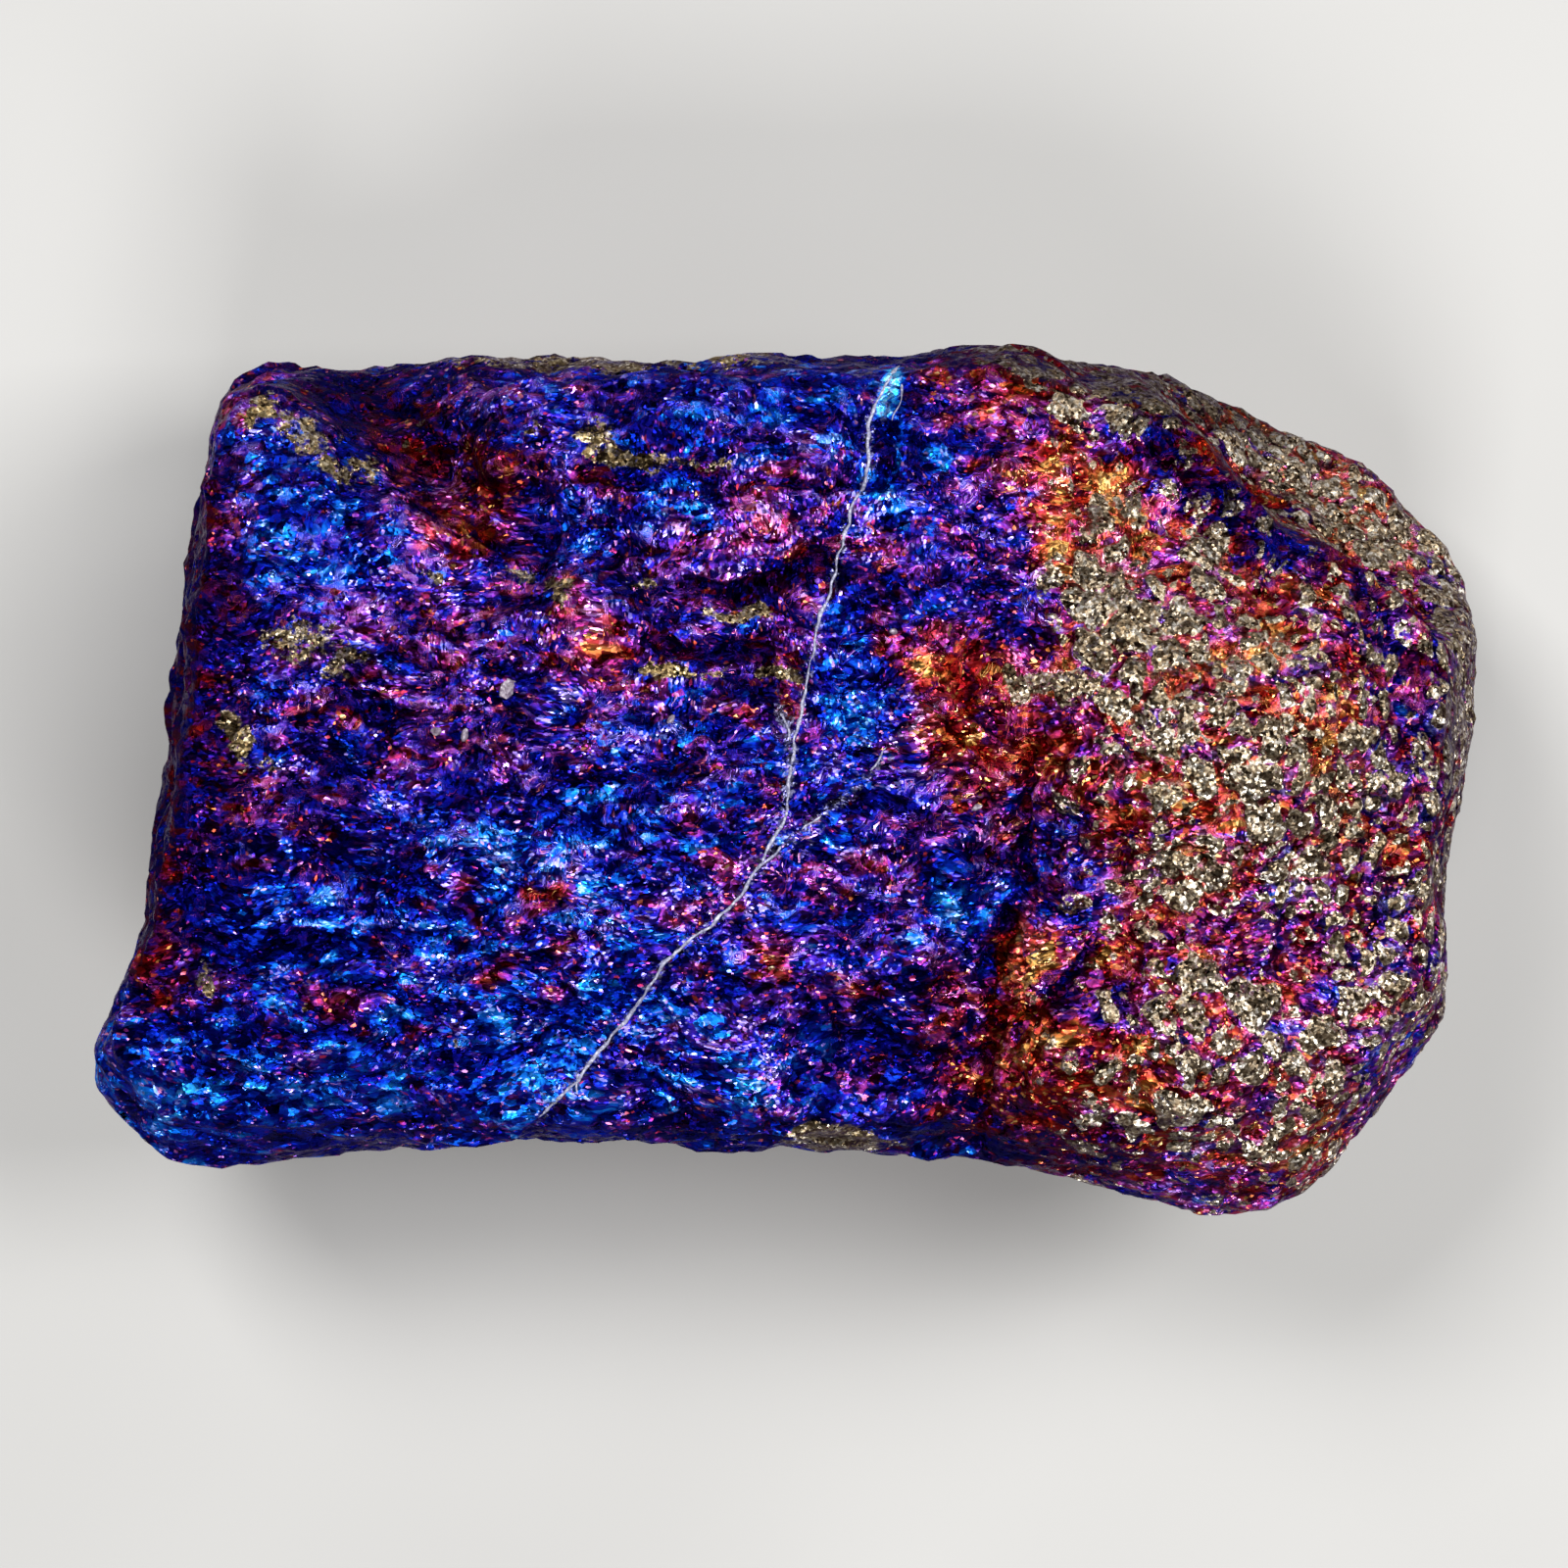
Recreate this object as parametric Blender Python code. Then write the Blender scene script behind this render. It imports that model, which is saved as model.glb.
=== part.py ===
"""Peacock ore specimen: one broken lump of tarnished copper ore, lying on its broad flat back.

The lump is one piece, so it is one solid. Lengths are in millimetres until the mesh is made, and
the mesh is in metres. X runs along the lump, Y across it, and Z up from the surface it lies on.
The face that carries the colours looks up.

The shape is built in four steps:
1. bands around the lump, from the edge of the upper face down to the sole, and a patch over them;
2. flat breaks, where the side was struck off along a plane;
3. relief: grooves, hollows, swells, ledges and grains;
4. the sole is pressed flat and the whole is brought to its driving size.
"""

import math

import bmesh
import bpy
from mathutils import Vector, noise

# Driving dimensions
LENGTH = 62.0
BREADTH = 38.6
HEIGHT = 26.5
MM = 0.001

# Mesh density: cells along the long sides, along the short sides, and between two bands
LONG_CELLS = 58
SHORT_CELLS = 36
CREST_TO_BROW_CELLS = 2
BROW_TO_RIM_CELLS = 3
RIM_TO_HAUNCH_CELLS = 3
HAUNCH_TO_FOOT_CELLS = 3
FOOT_TO_SOLE_CELLS = 2

# Outline of the lump seen from above, counter-clockwise from the lower left corner
RIM_FRONT = (
    (-27.9, -16.7), (-26.1, -17.0), (-21.7, -16.8), (-17.3, -16.4), (-12.9, -16.4), (-10.7, -16.1),
    (-6.3, -16.2), (-1.9, -16.7), (0.3, -16.2), (4.7, -16.4), (9.0, -16.9), (13.4, -17.8),
    (17.8, -18.9), (20.0, -19.2), (22.2, -18.9),
)
RIM_RIGHT = (
    (24.1, -18.0), (26.9, -14.5), (29.0, -10.9), (29.6, -8.1), (29.7, -3.8), (30.2, -0.3),
    (31.0, 4.6), (31.2, 7.5), (30.2, 10.7),
)
RIM_BACK = (
    (28.1, 12.5), (27.2, 14.1), (24.7, 15.2), (22.5, 16.3), (20.4, 17.5), (18.2, 18.7), (15.8, 19.2),
    (12.4, 19.2), (9.0, 19.4), (2.5, 19.1), (-6.3, 19.3), (-15.1, 19.0), (-18.6, 18.7), (-21.7, 19.0),
    (-23.2, 19.0),
)
RIM_LEFT = (
    (-25.2, 17.8), (-25.7, 15.5), (-26.8, 10.3), (-27.6, 5.0), (-28.2, -2.0), (-28.7, -6.6),
    (-30.2, -10.4), (-30.9, -12.5), (-29.9, -14.5),
)
SPINE_END = 13.0

# Bands around the lump: bearing in degrees from +X, inset from the outline, height
CREST = (
    (0, 1.6, 21.5), (12, 2.2, 21.5), (17, 3.4, 22.0), (21, 4.8, 22.3), (29, 5.0, 22.6), (36, 4.4, 22.8),
    (43, 3.6, 22.6), (50, 2.4, 22.2), (58, 1.4, 22.0), (66, 1.0, 21.8), (90, 1.1, 22.2),
    (115, 1.2, 21.8), (129, 2.2, 20.2), (136, 2.8, 19.6), (141, 2.0, 20.6), (147, 1.6, 21.8),
    (158, 2.2, 22.4), (172, 2.3, 22.6), (184, 2.0, 22.2), (190, 1.5, 21.2), (200, 1.9, 20.4),
    (210, 2.8, 19.4), (225, 1.9, 19.6), (250, 1.3, 19.8), (270, 1.2, 20.2), (290, 1.5, 20.6),
    (310, 2.4, 20.4), (318, 2.8, 19.4), (335, 2.2, 20.6), (348, 1.6, 21.2),
)
BROW = (
    (0, 0.7, 18.4), (12, 1.3, 17.0), (20, 4.0, 14.6), (29, 4.3, 14.0), (36, 3.7, 14.2), (43, 2.7, 15.2),
    (52, 1.2, 17.6), (64, 0.5, 18.8), (90, 0.5, 19.0), (125, 0.9, 18.2), (136, 1.5, 17.0),
    (148, 1.0, 18.6), (172, 1.6, 18.4), (190, 0.7, 18.0), (210, 1.0, 16.4), (235, 0.6, 16.8),
    (270, 0.4, 17.4), (305, 0.6, 17.6), (318, 1.0, 16.4), (340, 0.7, 17.6),
)
RIM_HEIGHTS = (
    (0, 0.0, 13.0), (22, 0.0, 10.0), (36, 0.0, 10.2), (62, 0.0, 13.5), (96, 0.0, 14.8), (140, 0.0, 11.5),
    (176, 0.0, 11.0), (206, 0.0, 14.2), (232, 0.0, 12.2), (262, 0.0, 13.2), (292, 0.0, 15.0),
    (322, 0.0, 12.4),
)
HAUNCH = (
    (0, 1.2, 6.8), (30, 0.9, 5.0), (60, 1.6, 7.0), (90, 0.8, 7.2), (125, 1.4, 5.4), (155, 1.3, 6.4),
    (180, 0.8, 5.4), (206, 2.0, 7.4), (236, 1.4, 5.6), (262, 2.4, 6.8), (288, 1.4, 7.8), (312, 2.2, 5.6),
    (336, 1.7, 6.4),
)
FOOT = (
    (0, 3.8, 1.4), (30, 3.8, 1.3), (60, 4.2, 1.6), (90, 2.6, 1.2), (120, 3.6, 1.4), (150, 3.4, 1.0),
    (180, 2.4, 1.1), (215, 5.2, 1.5), (245, 3.8, 1.1), (275, 5.0, 1.5), (300, 4.0, 1.2), (330, 4.6, 1.3),
)
SOLE = (
    (0, 6.0, 0.0), (60, 6.6, 0.0), (120, 5.8, 0.0), (180, 5.0, 0.0), (215, 7.6, 0.0), (275, 7.2, 0.0),
    (330, 7.0, 0.0),
)
FACE_RISE = 1.8

# Flat breaks: bearing and upward tilt of the plane's normal in degrees, and the height at which the
# plane meets the outline
BREAKS = (
    (158, -12, 9.0), (203, -28, 14.0), (236, -36, 11.0), (258, -16, 8.0), (276, -40, 12.5),
    (298, -22, 11.5), (318, -40, 11.5), (342, -26, 9.0), (8, -34, 10.5), (38, -26, 7.5), (62, -12, 9.5),
    (84, -36, 11.5), (108, -14, 8.5), (134, -38, 9.5), (176, 10, 12.0), (146, 34, 18.0), (318, 38, 16.5),
)
BREAK_HOLD = 0.9

# Grooves in the upper face: half width, depth, then the line that each follows
GROOVES = (
    (4.2, 2.6, ((-18.2, 20.5), (-17.2, 18.0), (-15.8, 15.8))),
    (2.6, 1.7, ((-15.8, 15.4), (-13.8, 12.8), (-10.8, 11.2), (-7.6, 10.4))),
    (2.6, 0.9, ((10.8, 4.2), (10.3, 0.5), (10.4, -2.4))),
    (3.0, 1.9, ((10.2, -3.0), (9.4, -6.0), (8.8, -9.2), (8.4, -13.0), (8.0, -17.4))),
    (2.4, 0.7, ((14.0, -7.0), (12.4, -8.3), (10.5, -10.5))),
    (2.0, 0.8, ((-25.6, -6.7), (-21.5, -7.4), (-18.1, -7.2), (-14.2, -7.1))),
    (2.2, 1.0, ((-4.4, 7.6), (-1.0, 8.1), (2.3, 8.2))),
    (2.0, 0.8, ((-8.0, 5.2), (-4.4, 4.8), (-0.6, 5.1))),
    (2.0, 0.6, ((-10.7, 13.4), (-3.2, 13.6), (3.2, 13.0))),
    (2.2, 0.8, ((-14.4, 1.2), (-9.2, 2.4), (-5.0, 1.7))),
    (2.0, 0.7, ((-16.6, -11.2), (-11.4, -11.8), (-6.4, -11.0))),
    (2.0, 1.0, ((4.6, 19.0), (4.2, 16.6), (3.8, 14.4))),
    (2.4, 0.6, ((12.4, 15.4), (16.6, 12.4), (20.2, 9.4))),
)

# Rounded hollows and swells: place, radius and depth or height
HOLLOWS = (
    (3.9, -11.9, 4.2, 2.3), (-0.2, 15.9, 2.6, 1.2), (-11.4, 9.2, 2.6, 0.9), (-19.5, -4.4, 2.8, 0.8),
    (15.2, -5.0, 2.6, 0.7), (-24.0, 3.4, 2.4, 0.7), (21.8, -3.6, 2.4, 0.6), (-6.2, -13.6, 2.6, 0.7),
)
SWELLS = (
    (-20.8, 11.6, 5.0, 1.3), (-15.4, 15.7, 1.8, 0.9), (-12.8, 14.0, 2.4, 1.1), (-21.0, -10.6, 6.5, 0.9),
    (-3.0, -3.0, 9.0, 0.9), (19.2, 2.0, 10.5, 2.5), (17.2, -11.8, 6.2, 1.7), (10.8, -7.6, 1.6, 0.9),
    (12.2, -12.6, 2.6, 0.8), (6.2, 2.4, 4.0, 0.7), (14.6, 9.0, 4.6, 0.8), (-2.2, 10.8, 3.4, 0.7),
)

# Ledges: the ore parts along rough beds that run along X, and each bed ends in a small step
LEDGE_PITCH = 5.2
LEDGE_STEP = 0.9
LEDGE_SLANT = 0.16
LEDGE_WANDER = 1.9
LEDGE_RIGHT_END = 9.5
LEDGE_FADE = 5.0

# The share of the relief that reaches the outline, and how many rings away the whole relief applies
RIM_SHARE = 0.3
RIM_FADE_RINGS = 3

# Grain lumps in the right lobe, and the chips and broad unevenness of the rest
GRAIN_SIZE = 3.2
GRAIN_HEIGHT = 0.55
CHIP_SIZE = 7.5
CHIP_DEPTH = 1.4
BROAD_SIZE = 8.0
BROAD_HEIGHT = 1.3
UNEVEN_SIZE = 3.2
UNEVEN_HEIGHT = 0.45

# The worn softness of all edges: passes, and how far each point moves toward its neighbours
WEAR_PASSES = 1
WEAR = 0.35

ORE_COLOUR = (0.09, 0.05, 0.24, 1.0)
ORE_ROUGHNESS = 0.35
ORE_METALLIC = 0.85


def smooth(t):
    """Eases t from 0 to 1."""
    t = min(1.0, max(0.0, t))
    return t * t * (3.0 - 2.0 * t)


def catmull_rom(p0, p1, p2, p3, t):
    """The point at t between p1 and p2, on a smooth curve through all four."""
    return 0.5 * (2.0 * p1 + (p2 - p0) * t + (2.0 * p0 - 5.0 * p1 + 4.0 * p2 - p3) * t * t
                  + (3.0 * p1 - p0 - 3.0 * p2 + p3) * t ** 3)


def along(points, count):
    """count points evenly spaced on a smooth curve through points, without the last one.

    The first and last of points only lead the curve in and out.
    """
    steps = 12
    fine = [catmull_rom(*points[i - 1:i + 3], step / steps)
            for i in range(1, len(points) - 2) for step in range(steps)]
    fine.append(points[-2])
    reach = [0.0]
    for a, b in zip(fine, fine[1:]):
        reach.append(reach[-1] + (b - a).length)
    spaced = []
    i = 0
    for n in range(count):
        wanted = reach[-1] * n / count
        while reach[i + 1] < wanted:
            i += 1
        spaced.append(fine[i].lerp(fine[i + 1], (wanted - reach[i]) / (reach[i + 1] - reach[i])))
    return spaced


def rim_sides():
    """The outline's points, one list for each of the four sides of the upper patch."""
    sides = [[Vector(p) for p in side] for side in (RIM_FRONT, RIM_RIGHT, RIM_BACK, RIM_LEFT)]
    counts = (LONG_CELLS, SHORT_CELLS, LONG_CELLS, SHORT_CELLS)
    return [along([sides[i - 1][-1], *side, *sides[(i + 1) % 4][:2]], counts[i])
            for i, side in enumerate(sides)]


def band_at(band, bearing):
    """Inset and height of a band at a bearing in degrees, eased between its stations."""
    stations = [*band, (band[0][0] + 360.0, *band[0][1:])]
    for (b0, inset0, height0), (b1, inset1, height1) in zip(stations, stations[1:]):
        if b0 <= bearing <= b1:
            t = smooth((bearing - b0) / (b1 - b0))
            return inset0 + (inset1 - inset0) * t, height0 + (height1 - height0) * t
    return stations[0][1:]


def inward(point):
    """The level direction from an outline point to the nearest point of the lump's spine."""
    on_spine = Vector((min(SPINE_END, max(-SPINE_END, point.x)), 0.0))
    return (on_spine - point).normalized()


def ring_of(band, outline):
    """The band's points around the lump, one for each point of the outline."""
    ring = []
    for point in outline:
        bearing = math.degrees(math.atan2(point.y, point.x)) % 360.0
        inset, height = band_at(band, bearing)
        ring.append((point + inward(point) * inset).to_3d() + Vector((0.0, 0.0, height)))
    return ring


def rings_of(outline):
    """All rings from the crest down to the sole, with the rings between the bands."""
    bands = [ring_of(band, outline) for band in (CREST, BROW, RIM_HEIGHTS, HAUNCH, FOOT, SOLE)]
    cells = (CREST_TO_BROW_CELLS, BROW_TO_RIM_CELLS, RIM_TO_HAUNCH_CELLS, HAUNCH_TO_FOOT_CELLS,
             FOOT_TO_SOLE_CELLS)
    leads = [bands[0], *bands, bands[-1]]
    rings = []
    for i, count in enumerate(cells):
        for step in range(count):
            rings.append([catmull_rom(*four, step / count) for four in zip(*leads[i:i + 4])])
    rings.append(bands[-1])
    return rings


def upper_patch(ring):
    """Points of the upper face as rows, stretched between the four sides of the crest ring."""
    m, n = LONG_CELLS, SHORT_CELLS
    front = [ring[i] for i in range(m + 1)]
    right = [ring[m + j] for j in range(n + 1)]
    back = [ring[2 * m + n - i] for i in range(m + 1)]
    left = [ring[-j] for j in range(n + 1)]
    rows = []
    for j in range(n + 1):
        v = j / n
        row = []
        for i in range(m + 1):
            u = i / m
            across = front[i].lerp(back[i], v)
            along_x = left[j].lerp(right[j], u)
            corners = front[0].lerp(front[m], u).lerp(back[0].lerp(back[m], u), v)
            rise = FACE_RISE * (1.0 - (2.0 * u - 1.0) ** 4) * (1.0 - (2.0 * v - 1.0) ** 4)
            row.append(across + along_x - corners + Vector((0.0, 0.0, rise)))
        rows.append(row)
    return rows


def blank_mesh():
    """The lump before it is broken and worn, as a closed mesh in millimetres.

    The layer "relief_share" says how much of the relief each point takes.
    """
    outline = [point for side in rim_sides() for point in side]
    rings = rings_of(outline)
    mesh = bmesh.new()
    shares = mesh.verts.layers.float.new("relief_share")
    loops = [[mesh.verts.new(point) for point in ring] for ring in rings]
    for k, loop in enumerate(loops):
        from_rim = abs(k - CREST_TO_BROW_CELLS - BROW_TO_RIM_CELLS) / RIM_FADE_RINGS
        for vert in loop:
            vert[shares] = RIM_SHARE + (1.0 - RIM_SHARE) * smooth(from_rim)
    for upper, lower in zip(loops, loops[1:]):
        for k in range(len(upper)):
            mesh.faces.new((upper[k - 1], lower[k - 1], lower[k], upper[k]))
    mesh.faces.new(reversed(loops[-1]))

    m, n = LONG_CELLS, SHORT_CELLS
    crest = loops[0]
    grid = [[None] * (m + 1) for _ in range(n + 1)]
    for i in range(m + 1):
        grid[0][i] = crest[i]
        grid[n][i] = crest[2 * m + n - i]
    for j in range(n + 1):
        grid[j][m] = crest[m + j]
        grid[j][0] = crest[-j]
    for j, row in enumerate(upper_patch(rings[0])):
        for i, point in enumerate(row):
            if grid[j][i] is None:
                grid[j][i] = mesh.verts.new(point)
                grid[j][i][shares] = 1.0
    for j in range(n):
        for i in range(m):
            mesh.faces.new((grid[j][i], grid[j][i + 1], grid[j + 1][i + 1], grid[j + 1][i]))
    bmesh.ops.recalc_face_normals(mesh, faces=mesh.faces)
    return mesh


def break_flat(mesh):
    """Presses what stands out beyond each break's plane level back to it."""
    outline = [Vector(p) for side in (RIM_FRONT, RIM_RIGHT, RIM_BACK, RIM_LEFT) for p in side]
    for bearing, tilt, meeting_height in BREAKS:
        toward = Vector((math.cos(math.radians(bearing)), math.sin(math.radians(bearing))))
        slope = math.tan(math.radians(tilt))
        reach = max(point.dot(toward) for point in outline)
        for vert in mesh.verts:
            allowed = reach - (vert.co.z - meeting_height) * slope
            out = vert.co.xy.dot(toward) - allowed
            if out > 0.0:
                vert.co -= (toward * out * BREAK_HOLD).to_3d()


def distance_to_line(point, line):
    """The level distance from a point to a line of several points."""
    nearest = math.inf
    for a, b in zip(line, line[1:]):
        a, b = Vector(a), Vector(b)
        t = (point - a).dot(b - a) / (b - a).length_squared
        nearest = min(nearest, (point - a.lerp(b, min(1.0, max(0.0, t)))).length)
    return nearest


def bowl(distance, radius):
    """1 at the middle of a round feature, easing to 0 at its radius."""
    return smooth(1.0 - distance / radius)


def ledge_height(place):
    """Height of the beds at a place: each rises slowly along Y and ends in a step."""
    wander = LEDGE_WANDER * noise.noise(place * 0.11) + 0.6 * noise.noise(place * 0.35)
    bed = (place.y + LEDGE_SLANT * place.x + wander * 1.6) / LEDGE_PITCH
    share = bed - math.floor(bed)
    steepness = share if share < 0.72 else 0.72 * (1.0 - share) / 0.28
    strength = 0.55 + 0.45 * noise.noise(place * 0.16 + Vector((7.0, 3.0, 1.0)))
    return LEDGE_STEP * strength * steepness


def grain_height(place):
    """Height of the rounded grains that the right lobe is packed with."""
    nearest = noise.voronoi(place / GRAIN_SIZE)[0][0]
    return GRAIN_HEIGHT * (0.6 - nearest)


def chip_height(place):
    """Height of the shallow curved chips, which meet in sharp arrises."""
    distances = noise.voronoi(place / CHIP_SIZE)[0]
    return -CHIP_DEPTH * (distances[1] - distances[0]) * 0.8


def relief_at(place, facing_up):
    """How far the surface stands out at a place. facing_up is 1 on the upper face and 0 below."""
    level = place.xy
    height = UNEVEN_HEIGHT * noise.fractal(place / UNEVEN_SIZE, 0.9, 2.0, 3)
    to_lobe = smooth((place.x - LEDGE_RIGHT_END + LEDGE_FADE) / LEDGE_FADE)
    height += (1.0 - to_lobe) * facing_up * ledge_height(place)
    height += to_lobe * (0.4 + 0.6 * facing_up) * grain_height(place)
    height += (1.0 - facing_up) * (1.0 - 0.5 * to_lobe) * chip_height(place)
    height += (1.0 - facing_up) * BROAD_HEIGHT * noise.noise(place / BROAD_SIZE)
    for half_width, depth, line in GROOVES:
        height -= facing_up * depth * bowl(distance_to_line(level, line), half_width)
    for x, y, radius, depth in HOLLOWS:
        height -= facing_up * depth * bowl((level - Vector((x, y))).length, radius)
    for x, y, radius, rise in SWELLS:
        height += facing_up * rise * bowl((level - Vector((x, y))).length, radius)
    return height


def carve(mesh):
    """Moves every point above the sole along its normal by the relief there, and softens the edges."""
    mesh.normal_update()
    shares = mesh.verts.layers.float["relief_share"]
    moves = []
    for vert in mesh.verts:
        share = vert[shares] * smooth(vert.co.z / 2.5)
        facing_up = smooth((vert.normal.z - 0.15) / 0.5)
        moves.append(vert.normal * relief_at(vert.co, facing_up) * share)
    for vert, move in zip(mesh.verts, moves):
        vert.co += move
    above_sole = [vert for vert in mesh.verts if vert.co.z > 0.6]
    for _ in range(WEAR_PASSES):
        bmesh.ops.smooth_vert(mesh, verts=above_sole, factor=WEAR, use_axis_x=True, use_axis_y=True,
                              use_axis_z=True)


def bring_to_size(mesh):
    """Scales the lump to its driving size, with its origin under its middle."""
    lowest = Vector(min(v.co[axis] for v in mesh.verts) for axis in range(3))
    highest = Vector(max(v.co[axis] for v in mesh.verts) for axis in range(3))
    middle = (lowest + highest) / 2.0
    size = highest - lowest
    for vert in mesh.verts:
        vert.co = Vector((
            (vert.co.x - middle.x) * LENGTH / size.x,
            (vert.co.y - middle.y) * BREADTH / size.y,
            (vert.co.z - lowest.z) * HEIGHT / size.z,
        )) * MM


def ore_material():
    """Tarnished sulphide: dark violet blue, with a metal's shine."""
    material = bpy.data.materials.new("tarnished_ore")
    material.use_nodes = True
    shader = material.node_tree.nodes["Principled BSDF"]
    shader.inputs["Base Color"].default_value = ORE_COLOUR
    shader.inputs["Roughness"].default_value = ORE_ROUGHNESS
    shader.inputs["Metallic"].default_value = ORE_METALLIC
    return material


def make_ore():
    """The whole lump as one object."""
    shape = blank_mesh()
    break_flat(shape)
    carve(shape)
    bring_to_size(shape)
    mesh = bpy.data.meshes.new("ore")
    shape.to_mesh(mesh)
    shape.free()
    mesh.materials.append(ore_material())
    ore = bpy.data.objects.new("ore", mesh)
    bpy.context.scene.collection.objects.link(ore)
    return ore


for old in list(bpy.data.objects):
    bpy.data.objects.remove(old)
make_ore()
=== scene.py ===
"""Dresses the plain solid of a peacock ore specimen and sets up its studio.

The ore is one broken lump. Its copy here gets the fine relief and the coloured tarnish that the
plain solid leaves out, and a pale vein and a few pale crystals are set into it. Places on the lump
are in millimetres, seen from above: x runs along the lump and y across it.
"""

from __future__ import annotations

import logging
import math
import random
from abc import ABC, abstractmethod
from dataclasses import dataclass, field
from enum import Enum
from functools import reduce

import bmesh
import bpy
import numpy as np
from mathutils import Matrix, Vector, noise
from mathutils.bvhtree import BVHTree
from mathutils.kdtree import KDTree


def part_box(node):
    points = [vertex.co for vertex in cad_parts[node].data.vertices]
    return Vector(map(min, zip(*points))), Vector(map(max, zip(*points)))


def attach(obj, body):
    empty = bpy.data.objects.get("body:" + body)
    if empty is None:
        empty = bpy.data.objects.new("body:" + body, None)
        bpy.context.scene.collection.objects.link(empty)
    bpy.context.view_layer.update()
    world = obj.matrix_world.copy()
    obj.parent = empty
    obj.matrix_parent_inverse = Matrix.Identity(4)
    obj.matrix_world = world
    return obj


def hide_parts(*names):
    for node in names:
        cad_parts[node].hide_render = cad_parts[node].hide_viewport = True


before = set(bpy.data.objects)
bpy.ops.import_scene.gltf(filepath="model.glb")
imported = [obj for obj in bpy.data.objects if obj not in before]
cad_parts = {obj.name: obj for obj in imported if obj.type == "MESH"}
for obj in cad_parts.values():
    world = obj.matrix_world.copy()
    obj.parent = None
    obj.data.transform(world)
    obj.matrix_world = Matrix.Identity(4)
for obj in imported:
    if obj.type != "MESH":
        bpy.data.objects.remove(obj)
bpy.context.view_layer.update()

LOG = logging.getLogger("ore_specimen")
MM = 0.001
ABOVE = 50.0
LOBE_START = 8.5
LOBE_FULL = 12.5
UP = Vector((0.0, 0.0, 1.0))

Place = tuple[float, float]
Triple = tuple[float, float, float]
Tint = tuple[float, float, float, float]
Stops = tuple[tuple[float, tuple[int, int, int]], ...]
Socket = bpy.types.NodeSocket
Outputs = bpy.types.NodeOutputs
Inputs = dict[str | int, Socket | Tint | Triple | float]


def linear(red: int, green: int, blue: int) -> Tint:
    """Turns a display colour into the linear one that a shader takes.

    Args:
        red: Red from 0 to 255.
        green: Green from 0 to 255.
        blue: Blue from 0 to 255.

    Returns:
        The linear colour with full alpha.
    """
    parts = [c / 255.0 for c in (red, green, blue)]
    r, g, b = (c / 12.92 if c <= 0.04045 else ((c + 0.055) / 1.055) ** 2.4 for c in parts)
    return (r, g, b, 1.0)


def ease(values: np.ndarray, low: float, high: float) -> np.ndarray:
    """Eases values from 0 at low to 1 at high.

    Args:
        values: The values to ease.
        low: Where the result is 0.
        high: Where the result is 1.

    Returns:
        The eased values.
    """
    t = np.clip((values - low) / (high - low), 0.0, 1.0)
    return t * t * (3.0 - 2.0 * t)


def stepped(level: np.ndarray, pitch: float, tread: float) -> tuple[np.ndarray, np.ndarray]:
    """Steps that climb slowly along their treads and drop at the end of each.

    Args:
        level: How far up the flight each place is.
        pitch: The length of one step.
        tread: The share of a step that climbs.

    Returns:
        The share of its step that each place is at, and its height from -0.5 to 0.5.
    """
    share = np.mod(level / pitch, 1.0)
    return share, np.where(share < tread, share / tread, (1.0 - share) / (1.0 - tread)) - 0.5


def away_from(line: tuple[Place, ...], x: np.ndarray, y: np.ndarray) -> np.ndarray:
    """The distance from each place to a line.

    Args:
        line: The line's points.
        x: Places along the lump.
        y: Places across the lump.

    Returns:
        Distances.
    """
    nearest = np.full(x.shape, np.inf)
    for (ax, ay), (bx, by) in zip(line, line[1:]):
        length = (bx - ax) ** 2 + (by - ay) ** 2
        t = np.clip(((x - ax) * (bx - ax) + (y - ay) * (by - ay)) / length, 0.0, 1.0)
        nearest = np.minimum(nearest, np.hypot(x - ax - t * (bx - ax), y - ay - t * (by - ay)))
    return nearest


def only(*pieces: bpy.types.Object) -> None:
    """Selects these objects alone and makes the last one active.

    Args:
        pieces: The objects to select.
    """
    bpy.ops.object.select_all(action="DESELECT")
    for piece in pieces:
        piece.select_set(True)
    bpy.context.view_layer.objects.active = pieces[-1]


def added(name: str, data: bpy.types.ID) -> bpy.types.Object:
    """Adds an object to the scene.

    Args:
        name: The object's name.
        data: Its mesh, light or camera.

    Returns:
        The object.
    """
    piece = bpy.data.objects.new(name, data)
    bpy.context.scene.collection.objects.link(piece)
    return piece


def pulled(rows: bpy.types.bpy_prop_collection, name: str, width: int = 1,
           kind: type = np.float32) -> np.ndarray:
    """Reads one value of every row of a mesh's list.

    Args:
        rows: The list, such as the mesh's points.
        name: The value's name.
        width: How many numbers the value has.
        kind: The kind of number.

    Returns:
        The values, one row each where they have several numbers.
    """
    values = np.empty(len(rows) * width, kind)
    rows.foreach_get(name, values)
    return values if width == 1 else values.reshape(-1, width)


class Weave(Enum):
    """How the pattern of one finish is laid on the ore: its squeeze along each axis and its turn."""

    EVEN = (1.0, 1.0, 1.0, 0.0)
    BEDDED = (0.78, 1.2, 1.0, -16.0)
    UPRIGHT = (1.3, 0.7, 1.0, 14.0)

    @property
    def squeeze(self) -> Triple:
        """The squeeze along each axis."""
        return self.value[:3]

    @property
    def turn(self) -> float:
        """The turn about the upright axis, in radians."""
        return math.radians(self.value[3])


class Chart(Enum):
    """Where each side of the ore is laid out flat: left edge, bottom edge, width and height."""

    TOP = (0.01, 0.39, 0.98, 0.60)
    SOLE = (0.01, 0.01, 0.50, 0.36)
    RIGHT = (0.52, 0.01, 0.22, 0.17)
    LEFT = (0.76, 0.01, 0.22, 0.17)
    BACK = (0.52, 0.20, 0.22, 0.17)
    FRONT = (0.76, 0.20, 0.22, 0.17)


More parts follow.
